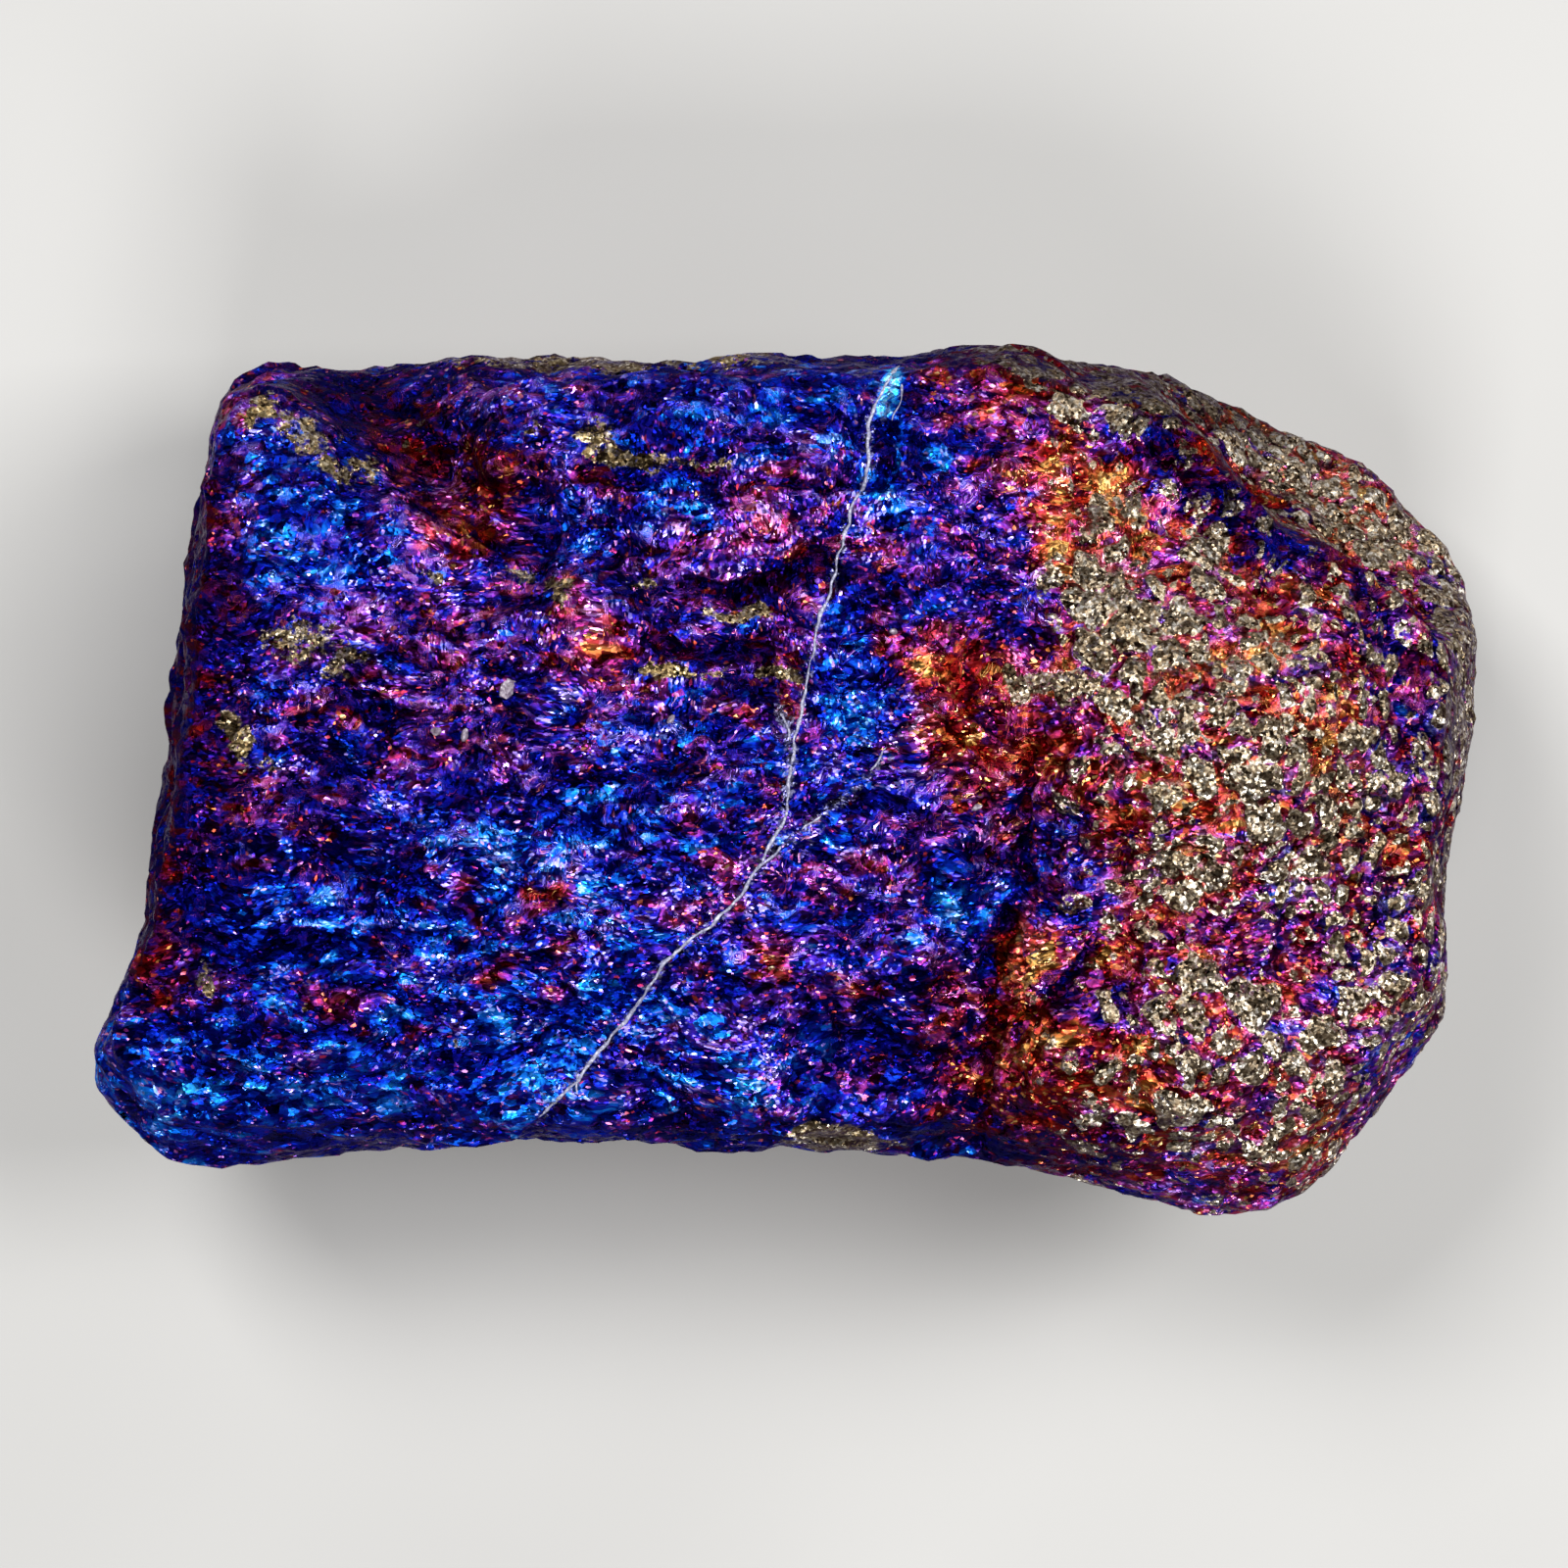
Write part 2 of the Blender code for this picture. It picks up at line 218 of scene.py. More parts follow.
@dataclass(frozen=True)
class Patch:
    """A spot on the upper face, as an ellipse that fades out.

    Its numbers are its place, its two reaches, its value, its strength and its turn in degrees.
    """

    x: float
    y: float
    reach_x: float
    reach_y: float
    value: float
    strength: float = 1.0
    turn: float = 0.0

    def weight(self, x: np.ndarray, y: np.ndarray) -> np.ndarray:
        """The patch's weight at each place.

        Args:
            x: Places along the lump.
            y: Places across the lump.

        Returns:
            The strength at the middle, fading to nothing past the reach.
        """
        turn = math.radians(self.turn)
        across, up = x - self.x, y - self.y
        u = (math.cos(turn) * across + math.sin(turn) * up) / self.reach_x
        v = (math.cos(turn) * up - math.sin(turn) * across) / self.reach_y
        return self.strength * np.exp(-((u * u + v * v) ** 1.4))


@dataclass(frozen=True)
class Crevice:
    """A narrow dark opening in the upper face that follows a line."""

    half_width: float
    depth: float
    line: tuple[Place, ...]

    def opening(self, x: np.ndarray, y: np.ndarray) -> np.ndarray:
        """How open the crevice is at each place, from 1 along its middle to 0 at its edge."""
        return 1.0 - ease(away_from(self.line, x, y), 0.15 * self.half_width, self.half_width)


@dataclass(frozen=True)
class Trace:
    """A faint dusting of pale mineral along a line."""

    reach: float
    strength: float
    line: tuple[Place, ...]

    def dust(self, x: np.ndarray, y: np.ndarray) -> np.ndarray:
        """How dusty each place is, from the strength along the line to 0 past its reach."""
        return self.strength * (1.0 - ease(away_from(self.line, x, y), 0.1, self.reach))


@dataclass(frozen=True)
class Strand:
    """One strand of the vein: half of its width, and the line that it follows."""

    half_width: float
    line: tuple[Place, ...]


@dataclass(frozen=True)
class VeinLines:
    """The strands of the pale vein and its faint traces, seen from above."""

    main: Strand = Strand(0.070, (
        (4.7, 18.2), (4.2, 17.3), (3.6, 16.3), (3.4, 15.4), (3.3, 14.6), (3.4, 13.7),
        (3.1, 12.8), (2.7, 11.9), (2.3, 10.6), (2.0, 9.4), (1.7, 8.1), (1.2, 7.0), (1.0, 6.1),
        (0.9, 5.1), (0.6, 4.2), (0.4, 2.8), (0.1, 1.7), (-0.1, -0.2), (-0.3, -1.5), (-0.8, -2.7),
        (-1.4, -3.7), (-1.9, -4.6), (-2.7, -5.6), (-3.6, -6.4), (-4.6, -7.1), (-5.5, -8.0),
        (-6.4, -9.3), (-7.2, -10.5), (-8.3, -11.7), (-9.4, -13.2), (-10.6, -14.3), (-11.1, -15.0),
    ))
    side: tuple[Strand, ...] = (
        Strand(0.06, ((-1.4, -3.7), (-0.7, -3.2), (-0.3, -2.7))),
        Strand(0.05, ((0.4, -2.2), (0.9, -1.8), (1.4, -1.5))),
        Strand(0.05, ((3.4, 0.3), (3.8, 0.9), (4.3, 1.5))),
        Strand(0.07, ((-0.5, 2.9), (-0.2, 2.3), (0.0, 1.5))),
        Strand(0.05, ((4.85, 17.3), (4.7, 16.4), (4.3, 15.4))),
        Strand(0.05, ((-9.3, -12.8), (-9.5, -13.4), (-9.3, -13.9))),
    )
    traces: tuple[Trace, ...] = (
        Trace(0.55, 0.8, ((-1.4, -3.7), (-0.3, -2.8), (0.9, -1.8), (2.2, -0.9), (3.5, 0.2),
                          (4.8, 1.9), (6.1, 3.2))),
        Trace(0.50, 1.0, ((-0.5, 3.0), (-0.2, 2.2), (0.0, 1.2), (-0.2, -0.6))),
        Trace(0.30, 0.7, ((4.9, 18.4), (4.3, 16.9), (4.0, 15.6))),
        Trace(0.35, 0.6, ((-8.6, -12.2), (-9.6, -13.6), (-10.8, -14.6))),
        Trace(0.70, 0.5, ((-1.0, -3.4), (0.2, -3.2), (1.2, -2.4))),
    )
    rim_reach: float = 0.55
    rim_dust: float = 0.7

    def dust(self, x: np.ndarray, y: np.ndarray) -> np.ndarray:
        """How dusty with pale mineral each place is.

        Args:
            x: Places along the lump.
            y: Places across the lump.

        Returns:
            Values from 0 to 1.
        """
        trails = (Trace(self.rim_reach, self.rim_dust, self.main.line), *self.traces)
        return np.max([trail.dust(x, y) for trail in trails], axis=0)


@dataclass
class Surface:
    """The ore's surface as arrays, one row for each point, in millimetres."""

    points: np.ndarray
    normals: np.ndarray

    @classmethod
    def of(cls, piece: bpy.types.Object) -> Surface:
        """Reads a piece's points and normals.

        Args:
            piece: The piece to read.

        Returns:
            Its surface.
        """
        points = pulled(piece.data.vertices, "co", 3).astype(float) / MM
        return cls(points, pulled(piece.data.vertex_normals, "vector", 3).astype(float))

    @property
    def x(self) -> np.ndarray:
        """Places along the lump."""
        return self.points[:, 0]

    @property
    def y(self) -> np.ndarray:
        """Places across the lump."""
        return self.points[:, 1]

    @property
    def z(self) -> np.ndarray:
        """Heights over the floor."""
        return self.points[:, 2]

    @property
    def rise(self) -> np.ndarray:
        """How far each point faces up, from -1 to 1."""
        return self.normals[:, 2]

    @property
    def up(self) -> np.ndarray:
        """How far each point belongs to the upper face, from 0 to 1."""
        return ease(self.rise, 0.2, 0.65)

    def clouds(self, size: float, octaves: int, seed: float,
               stretch: Triple = (1.0, 1.0, 1.0)) -> np.ndarray:
        """Soft noise over the surface.

        Args:
            size: The size of a cloud.
            octaves: How many finer layers are added.
            seed: Moves the pattern, so that two fields differ.
            stretch: Squeezes the pattern along each axis.

        Returns:
            Values around 0, mostly within -1 and 1.
        """
        places = (self.points * np.array(stretch) / size + seed).tolist()
        if octaves == 1:
            return np.array([noise.noise(Vector(place)) for place in places])
        return np.array([noise.fractal(Vector(place), 0.9, 2.1, octaves) for place in places])

    def wind(self, size: float, octaves: int, *seeds: float) -> np.ndarray:
        """Three fields of soft noise as one arrow at each point."""
        return np.stack([self.clouds(size, octaves, seed) for seed in seeds], axis=1)

    def chips(self, size: float, seed: float,
              stretch: Triple = (1.0, 1.0, 1.0)) -> tuple[np.ndarray, np.ndarray]:
        """The pattern of chips around scattered middles.

        Args:
            size: The size of a chip.
            seed: Moves the pattern.
            stretch: Squeezes the pattern along each axis.

        Returns:
            The distance to the nearest middle and how much further the next one is, in sizes.
        """
        places = (self.points * np.array(stretch) / size + seed).tolist()
        nearest, second = np.array([noise.voronoi(Vector(place))[0][:2] for place in places]).T
        return nearest, second - nearest


@dataclass
class TarnishMap:
    """Where each tarnish colour lies, as the thickness of the film that makes it.

    The film runs from 0, thin and gold, through orange, red, magenta, violet and blue to 1, thick
    and sky blue, and on one clean plate it is thicker still. Bare metal has no film. The map also
    lays out the painted shade and painted highlights that darken or lighten the tarnish.
    """

    surface: Surface
    wander: float = 1.1
    base_film: float = 0.6
    base_weight: float = 0.05
    mottle: float = 0.2
    lobe_mottle: float = 0.16
    grain_film: float = 0.12
    grain_bare: float = 0.8
    left_film: float = 0.03
    # Painted shade and painted highlights: the base level, and what clouds, openings, the sides, the sky
    # plate and the relief add or take away
    base_light: float = 0.51
    cloud_light: float = 0.30
    opening_light: float = -0.9
    side_light: float = -0.16
    plate_light: float = 1.0
    relief_light: tuple[float, float] = (-0.4, 0.25)
    smooth_edge: float = 0.17
    swirl: float = 0.55
    film_spots: tuple[Patch, ...] = (
        # Broad fields, from the lower left to the right
        Patch(-20.3, -9.6, 13.0, 8.0, 0.80), Patch(-21.6, 1.5, 8.0, 5.5, 0.64),
        Patch(-7.9, 4.9, 9.0, 6.0, 0.62), Patch(-9.2, -1.3, 8.0, 3.8, 0.79, 1.5),
        Patch(-1.9, -4.5, 7.0, 4.6, 0.69), Patch(0.0, -12.2, 9.0, 3.6, 0.76),
        Patch(-2.4, 16.5, 8.0, 2.4, 0.80), Patch(19.9, 0.6, 9.0, 12.0, 0.31),
        Patch(20.3, -11.3, 6.5, 5.0, 0.44), Patch(-1.5, 10.6, 5.4, 2.6, 0.53, 4.0),
        Patch(-15.5, 4.6, 5.0, 2.4, 0.55, 1.6), Patch(-12.0, 16.6, 5.0, 1.6, 0.62, 1.4),
        # Blue and sky blue
        Patch(-19.4, 12.2, 4.4, 1.9, 0.83, 3.0, -12), Patch(-21.2, 9.2, 2.2, 0.9, 0.90, 4.0),
        Patch(-11.5, -3.2, 4.4, 1.2, 0.90, 3.0, 8), Patch(2.3, 4.2, 1.1, 2.1, 0.89, 6.0, 12),
        Patch(4.3, 13.6, 1.0, 1.6, 0.92, 7.0), Patch(6.8, 14.4, 1.5, 1.2, 0.95, 5.0),
        Patch(-5.0, 11.6, 1.5, 1.4, 0.90, 6.0), Patch(-8.8, 10.8, 2.0, 1.0, 0.80, 3.0),
        Patch(7.6, -5.6, 1.3, 1.9, 0.84, 6.0, 10),
        Patch(-23.8, -12.6, 4.4, 2.4, 0.95, 2.0), Patch(-13.5, -11.6, 4.0, 1.8, 0.92, 1.8),
        Patch(-24.4, -5.4, 3.0, 0.9, 0.90, 2.0), Patch(-19.2, -12.6, 4.0, 1.4, 0.93, 1.6),
        Patch(-8.6, -9.0, 2.4, 1.4, 0.92, 1.6, 30), Patch(-26.4, -14.6, 3.4, 1.6, 0.97, 3.0),
        Patch(5.9, 8.0, 1.2, 2.6, 0.82, 2.0), Patch(-0.6, 16.2, 2.0, 1.1, 0.88, 2.0),
        Patch(20.9, 10.6, 2.2, 0.6, 0.76, 6.0, -36), Patch(-16.2, -6.8, 3.4, 1.0, 0.86, 2.0),
        # Violet
        Patch(8.2, 9.4, 2.6, 3.0, 0.68, 2.4), Patch(17.4, 13.0, 4.0, 1.4, 0.56, 3.0, -30),
        Patch(27.2, 3.2, 1.9, 6.0, 0.57, 3.0), Patch(-15.9, 15.4, 1.1, 1.2, 0.56, 5.0),
        Patch(11.2, -5.0, 2.8, 2.4, 0.66, 4.0), Patch(23.8, -6.4, 3.0, 3.2, 0.52, 3.0),
        Patch(12.8, -9.4, 2.2, 1.4, 0.62, 3.0, -20), Patch(26.4, -10.0, 2.0, 4.0, 0.56, 3.0),
        Patch(19.0, -6.4, 2.2, 0.9, 0.66, 2.4), Patch(14.6, -11.2, 1.2, 1.4, 0.55, 2.0),
        Patch(25.4, 7.0, 2.6, 1.4, 0.58, 2.6), Patch(1.9, -4.9, 3.2, 1.8, 0.61, 1.6),
        # Magenta and crimson
        Patch(-15.2, 12.8, 2.6, 2.0, 0.34, 5.0, -56), Patch(9.2, 15.6, 3.0, 2.6, 0.43, 4.0),
        Patch(6.6, -10.9, 1.1, 2.6, 0.46, 6.0), Patch(10.5, -2.2, 0.8, 2.0, 0.46, 4.0),
        Patch(-3.6, -3.0, 2.0, 1.5, 0.50, 1.6), Patch(-23.0, -1.5, 2.3, 0.9, 0.40, 3.0),
        Patch(-13.0, 1.4, 3.0, 0.8, 0.43, 1.8), Patch(12.4, -15.2, 3.6, 1.0, 0.46, 3.0),
        Patch(-27.6, 6.0, 2.4, 11.0, 0.50, 5.0), Patch(1.8, -9.2, 2.6, 0.9, 0.48, 1.6),
        Patch(15.8, 3.6, 1.5, 1.4, 0.34, 2.0), Patch(0.5, 5.9, 1.8, 0.5, 0.38, 3.0),
        # Red, coral and orange
        Patch(12.4, 12.2, 2.6, 2.1, 0.20, 5.0, 10), Patch(6.7, 5.2, 2.0, 1.0, 0.12, 6.0, -10),
        Patch(8.6, 2.6, 2.0, 2.2, 0.25, 5.0), Patch(11.6, -12.2, 3.5, 2.3, 0.20, 9.0),
        Patch(10.1, -7.6, 0.9, 1.5, 0.05, 20.0, -6), Patch(-8.3, 6.2, 1.1, 2.4, 0.33, 5.0, 32),
        Patch(-19.7, -10.0, 1.5, 0.8, 0.36, 5.0, -20), Patch(-10.9, -4.9, 0.8, 0.6, 0.30, 6.0),
        Patch(-14.6, -5.0, 0.5, 1.3, 0.32, 4.0), Patch(-13.0, -8.2, 0.5, 0.9, 0.34, 4.0),
        Patch(-10.0, -8.4, 0.7, 1.2, 0.38, 4.0), Patch(-15.4, -11.0, 0.9, 0.5, 0.30, 3.0),
        Patch(-23.2, -11.0, 0.6, 0.4, 0.34, 3.0), Patch(-18.0, -7.6, 0.5, 0.6, 0.42, 3.0),
        Patch(-28.0, -7.7, 0.9, 1.0, 0.28, 5.0), Patch(-27.4, -3.8, 0.5, 0.7, 0.12, 6.0),
        Patch(-14.0, 11.4, 1.6, 0.8, 0.25, 5.0, -30), Patch(-16.4, 10.9, 0.6, 1.0, 0.28, 5.0),
        Patch(-0.9, -8.1, 0.9, 0.8, 0.15, 5.0), Patch(15.6, -7.0, 3.0, 1.7, 0.24, 3.0, 14),
        Patch(15.0, -0.6, 2.8, 1.2, 0.22, 3.0, -20), Patch(-21.4, -12.0, 0.9, 0.5, 0.30, 4.0),
        Patch(-26.6, -9.0, 1.4, 0.7, 0.30, 3.0), Patch(18.8, 5.0, 3.4, 0.9, 0.22, 3.0, 20),
        Patch(-4.3, -1.6, 0.7, 1.0, 0.26, 4.0, 40), Patch(21.4, -16.0, 2.2, 1.2, 0.24, 3.0),
        Patch(23.6, 12.8, 4.4, 1.6, 0.24, 5.0, -36),
    )
    sky_plate: Patch = Patch(4.25, 16.9, 0.46, 1.25, 1.35, turn=-17)
    bare_spots: tuple[Patch, ...] = (
        # Brassy spots of the layered part
        Patch(-23.6, 16.2, 0.9, 1.5, 0.66), Patch(-21.2, 15.2, 2.7, 1.0, 0.53, turn=-28),
        Patch(-18.6, 13.4, 1.3, 0.8, 0.52), Patch(-21.2, 6.1, 2.6, 1.2, 0.54, turn=6),
        Patch(-19.2, 5.2, 1.2, 0.9, 0.56), Patch(-24.4, 1.9, 0.9, 1.6, 0.66),
        Patch(-22.8, 0.6, 1.4, 0.5, 0.50), Patch(-6.6, 13.9, 2.6, 0.7, 0.74),
        Patch(-8.6, 15.0, 1.4, 0.9, 0.54), Patch(-20.0, 13.6, 1.0, 0.7, 0.52),
        Patch(-3.6, 13.6, 1.6, 0.35, 0.60), Patch(-2.4, 7.1, 2.1, 0.42, 0.76),
        Patch(-4.6, 4.8, 1.9, 0.40, 0.76), Patch(-0.9, 4.6, 1.3, 0.40, 0.74),
        Patch(-0.4, 3.5, 0.6, 0.5, 0.56), Patch(-10.0, 8.0, 1.1, 0.7, 0.66),
        Patch(-11.9, 8.6, 0.9, 0.6, 0.54), Patch(-6.4, 8.6, 0.8, 0.6, 0.50),
        Patch(1.9, -15.9, 2.6, 0.8, 0.90), Patch(-25.4, -8.8, 0.5, 1.0, 0.60),
        Patch(-15.6, 8.9, 0.7, 0.6, 0.50), Patch(-19.4, 16.6, 1.0, 0.6, 0.40),
        Patch(-16.6, 15.2, 0.6, 0.5, 0.44), Patch(-14.6, -11.2, 0.9, 0.5, 0.42),
        Patch(-0.6, -8.2, 0.6, 0.6, 0.50), Patch(-21.4, -9.6, 0.6, 0.5, 0.44),
        Patch(-11.4, 15.4, 1.4, 0.6, 0.40), Patch(-2.0, 15.6, 1.0, 0.5, 0.36),
        # Bare sulphide on the right and along the back rim
        Patch(20.6, 1.0, 8.6, 10.0, 0.50), Patch(19.0, -13.0, 7.0, 4.6, 0.47),
        Patch(26.6, -6.0, 4.0, 8.0, 0.50), Patch(16.0, 4.6, 4.0, 4.4, 0.56),
        Patch(14.4, 7.6, 2.1, 2.9, 0.92), Patch(14.6, 11.8, 1.3, 0.8, 0.80),
        Patch(10.2, 4.2, 0.9, 1.0, 0.74), Patch(15.8, 2.4, 2.0, 1.6, 1.00, turn=-20),
        Patch(18.6, 3.3, 1.4, 1.3, 0.86), Patch(20.2, 5.0, 1.9, 1.3, 0.86),
        Patch(18.2, 9.5, 1.4, 1.3, 0.84), Patch(22.0, 6.8, 1.2, 0.9, 0.80),
        Patch(21.0, 2.4, 1.4, 0.9, 0.80), Patch(18.0, 0.2, 1.9, 1.6, 0.92),
        Patch(24.2, 8.1, 0.8, 1.0, 0.72), Patch(22.8, 3.6, 0.8, 1.0, 0.72),
        Patch(25.6, 3.4, 0.8, 0.9, 0.72), Patch(23.2, -2.4, 2.6, 1.8, 0.74),
        Patch(26.6, -5.0, 1.4, 2.2, 0.72), Patch(17.0, -3.8, 2.4, 1.3, 0.80),
        Patch(14.6, -4.6, 1.2, 1.0, 0.70), Patch(21.4, -5.6, 2.4, 1.2, 0.70),
        Patch(16.4, -9.4, 1.8, 0.9, 0.70), Patch(18.6, -12.0, 1.0, 1.6, 0.84),
        Patch(21.4, -16.6, 2.6, 0.9, 0.90), Patch(17.4, -16.0, 1.4, 0.7, 0.76),
        Patch(23.6, -13.0, 1.6, 1.2, 0.70), Patch(12.2, 15.8, 2.2, 0.5, 0.64),
        Patch(28.8, 1.0, 1.2, 4.0, 0.6), Patch(29.8, 5.0, 1.5, 6.5, 1.1),
        Patch(24.6, -11.0, 2.2, 1.6, 0.5), Patch(13.4, -3.6, 1.4, 1.0, 0.5),
        Patch(24.8, 12.4, 5.6, 2.2, 1.15, turn=-36),
        Patch(13.4, 17.4, 6.4, 1.3, 0.85, turn=-16), Patch(18.8, 16.9, 5.4, 1.4, 1.05, turn=-26),
        Patch(-9.0, 18.7, 12.0, 0.8, 0.56),
    )
    painted_light_spots: tuple[Patch, ...] = (
        # Painted shade on hollows, notches and outer strips
        Patch(5.6, -11.9, 2.8, 1.7, -0.40), Patch(-14.8, 14.2, 4.4, 1.7, -0.34, turn=-40),
        Patch(0.0, 19.0, 26.0, 1.2, -0.42), Patch(-28.2, 4.0, 3.8, 12.0, -1.25),
        Patch(18.0, 14.6, 4.4, 1.0, -0.60, turn=-32), Patch(-7.4, 5.9, 1.6, 2.2, -0.12),
        Patch(8.0, 2.6, 2.2, 3.2, -0.20), Patch(11.4, -12.8, 3.0, 2.6, -0.12),
        Patch(-5.0, -16.2, 24.0, 1.6, -0.45), Patch(-21.0, 17.6, 3.4, 1.0, -0.34),
        Patch(-18.5, 16.3, 3.2, 1.5, -0.50, turn=-32),
        Patch(21.0, 10.8, 3.4, 0.9, -0.36, turn=-36), Patch(12.0, -16.2, 5.0, 1.2, -0.24),
        Patch(-0.6, 8.8, 2.2, 0.6, -0.80, turn=18), Patch(-3.4, 5.6, 2.4, 0.4, -0.55),
        Patch(-21.5, -7.3, 5.4, 0.7, -0.34), Patch(1.2, 15.6, 2.0, 0.7, -0.30),
        Patch(-12.2, 10.2, 2.2, 0.7, -0.34), Patch(9.4, -5.4, 1.4, 3.4, -0.30),
        Patch(-17.0, 1.6, 5.0, 1.6, -0.16), Patch(-22.5, -2.0, 4.0, 1.4, -0.20),
        Patch(12.6, 17.9, 6.0, 1.4, -0.85, turn=-16), Patch(22.0, 9.6, 4.0, 2.0, -0.20, turn=-30),
        Patch(19.0, 17.2, 5.4, 1.2, -0.62, turn=-26), Patch(-7.0, 14.2, 3.2, 1.5, -0.42),
        Patch(6.7, 4.6, 2.4, 1.6, -0.12), Patch(29.4, 0.0, 1.6, 9.0, -0.30),
        Patch(26.8, 0.5, 2.6, 8.0, -0.14), Patch(-21.0, -3.6, 5.0, 1.2, -0.16),
        # Painted highlights on faces that catch the light
        Patch(-1.6, 10.8, 2.3, 2.3, 0.44), Patch(-5.0, 11.7, 1.2, 1.2, 0.40),
        Patch(10.0, -12.6, 2.0, 2.0, 0.14), Patch(20.0, -10.0, 6.0, 6.0, 0.10),
        Patch(2.3, 4.3, 1.2, 1.7, 0.06), Patch(16.1, 2.1, 1.2, 1.0, 0.28),
        Patch(10.1, -7.6, 1.0, 1.5, 0.36), Patch(-14.4, 15.4, 1.2, 1.0, 0.30),
        Patch(-21.0, 9.6, 3.6, 1.0, 0.14), Patch(-5.6, 12.4, 1.4, 0.9, 0.18),
        Patch(12.6, 11.8, 2.2, 2.2, 0.10), Patch(-12.4, -3.0, 4.4, 1.2, 0.10),
        Patch(26.0, 10.4, 2.8, 1.2, 0.24),
    )
    calm_spots: tuple[Patch, ...] = (
        # Smooth fields along the lower edge and round the deep crease
        Patch(-23.0, -13.0, 8.0, 4.5, 1.0), Patch(-14.0, -14.0, 7.0, 2.6, 1.0),
        Patch(0.0, -13.5, 8.0, 2.6, 1.0, 0.8), Patch(-20.0, -6.5, 6.0, 2.6, 1.0, 0.6),
        Patch(11.4, -12.6, 2.6, 2.2, 1.0, 0.9), Patch(5.0, -12.0, 3.0, 2.0, 1.0, 0.8),
    )
    x: np.ndarray = field(init=False)
    y: np.ndarray = field(init=False)
    shown: np.ndarray = field(init=False)
    right: np.ndarray = field(init=False)

    def __post_init__(self) -> None:
        """Moves every place by noise, so that no spot has a clean edge, and finds the right lobe."""
        surface = self.surface
        self.x = surface.x + self.wander * surface.clouds(2.6, 3, 3.0)
        self.y = surface.y + 0.7 * self.wander * surface.clouds(2.0, 3, 11.0)
        self.shown = ease(surface.rise, -0.3, 0.12)
        self.right = ease(surface.x + 2.5 * surface.clouds(4.0, 2, 59.0), LOBE_START, LOBE_FULL)

    def strongest(self, spots: tuple[Patch, ...]) -> np.ndarray:
        """The most that any of the spots gives each point."""
        return np.max([spot.weight(self.x, self.y) * spot.value for spot in spots], axis=0)

    def film(self) -> np.ndarray:
        """The thickness of the film at each point, as the average of the spots that reach it.

        Returns:
            Thicknesses from 0 to 1.
        """
        total = np.full(self.x.shape, self.base_weight)
        film = total * self.base_film
        for spot in self.film_spots:
            weight = spot.weight(self.x, self.y)
            total += weight
            film += weight * spot.value
        hidden = 0.55 + 0.5 * self.surface.clouds(9.0, 2, 21.0)
        return np.clip(film / total * self.shown + hidden * (1.0 - self.shown), 0.0, 1.0)

    def mottled(self, film: np.ndarray, lot: np.ndarray) -> np.ndarray:
        """The film with its mottling, which also differs from grain to grain on the right lobe.

        Args:
            film: The plain thickness.
            lot: Each grain's own random value.

        Returns:
            Thicknesses up to 1.
        """
        mottle = self.mottle * self.surface.clouds(1.3, 3, 67.0, Weave.BEDDED.squeeze)
        mottle += self.lobe_mottle * self.right * self.surface.clouds(2.2, 2, 69.0)
        film = film + self.grain_film * self.right * (lot - 0.5) + self.left_film * (1.0 - self.right)
        return np.minimum(film + mottle, 1.0)

    def bare(self) -> np.ndarray:
        """How likely the film is gone at each point.

        Returns:
            Values from 0 to 1.
        """
        surface, bare = self.surface, self.strongest(self.bare_spots)
        hidden = 0.35 * ease(surface.x, -27.0, -18.0) + 0.6 * surface.clouds(6.0, 2, 31.0)
        return np.clip(bare * self.shown + hidden * (1.0 - self.shown), 0.0, 1.0)

    def light(self) -> np.ndarray:
        """How much painted light or painted shade the tarnish gets at each point.

        Returns:
            Values around 0.
        """
        spots = sum(spot.weight(self.x, self.y) * spot.value for spot in self.painted_light_spots)
        clouds = self.cloud_light * self.surface.clouds(2.6, 2, 53.0)
        return clouds + spots * ease(self.surface.rise, -0.2, 0.15)

    def upright(self) -> np.ndarray:
        """Where the pattern runs upright instead of along the beds.

        Returns:
            Values from 0 to 1.
        """
        surface = self.surface
        share = 0.9 * np.exp(-((surface.x + 2.0) / 7.0) ** 2 - ((surface.y - 11.5) / 4.5) ** 2)
        share = share + 0.9 * surface.clouds(1.8, 2, 83.0) - 0.4 * ease(-surface.y, 4.0, 9.0)
        return ease(share, 0.15, 0.25)

    def brass(self) -> np.ndarray:
        """How brassy bare metal is at each point, most on the left.

        Returns:
            Values from 0 to 1.
        """
        left = 0.75 * (1.0 - ease(self.surface.x, 6.0, 12.0)) * self.surface.up
        return np.clip(left + 0.5 * self.surface.clouds(3.0, 2, 57.0), 0.0, 1.0)

    def fields(self, relief: np.ndarray, opening: np.ndarray, edge: np.ndarray,
               lot: np.ndarray) -> dict[str, np.ndarray]:
        """Every field that the finish reads, the painted shade among them.

        Args:
            relief: The height of the fine relief at each point.
            opening: How open each point is.
            edge: How far each point is from its grain's edge.
            lot: Each grain's own random value.

        Returns:
            The fields by name.
        """
        right, bare = self.right, self.bare()
        plate = ease(self.sky_plate.weight(self.surface.x, self.surface.y), 0.2, 0.6)
        film = self.mottled(self.film(), lot)
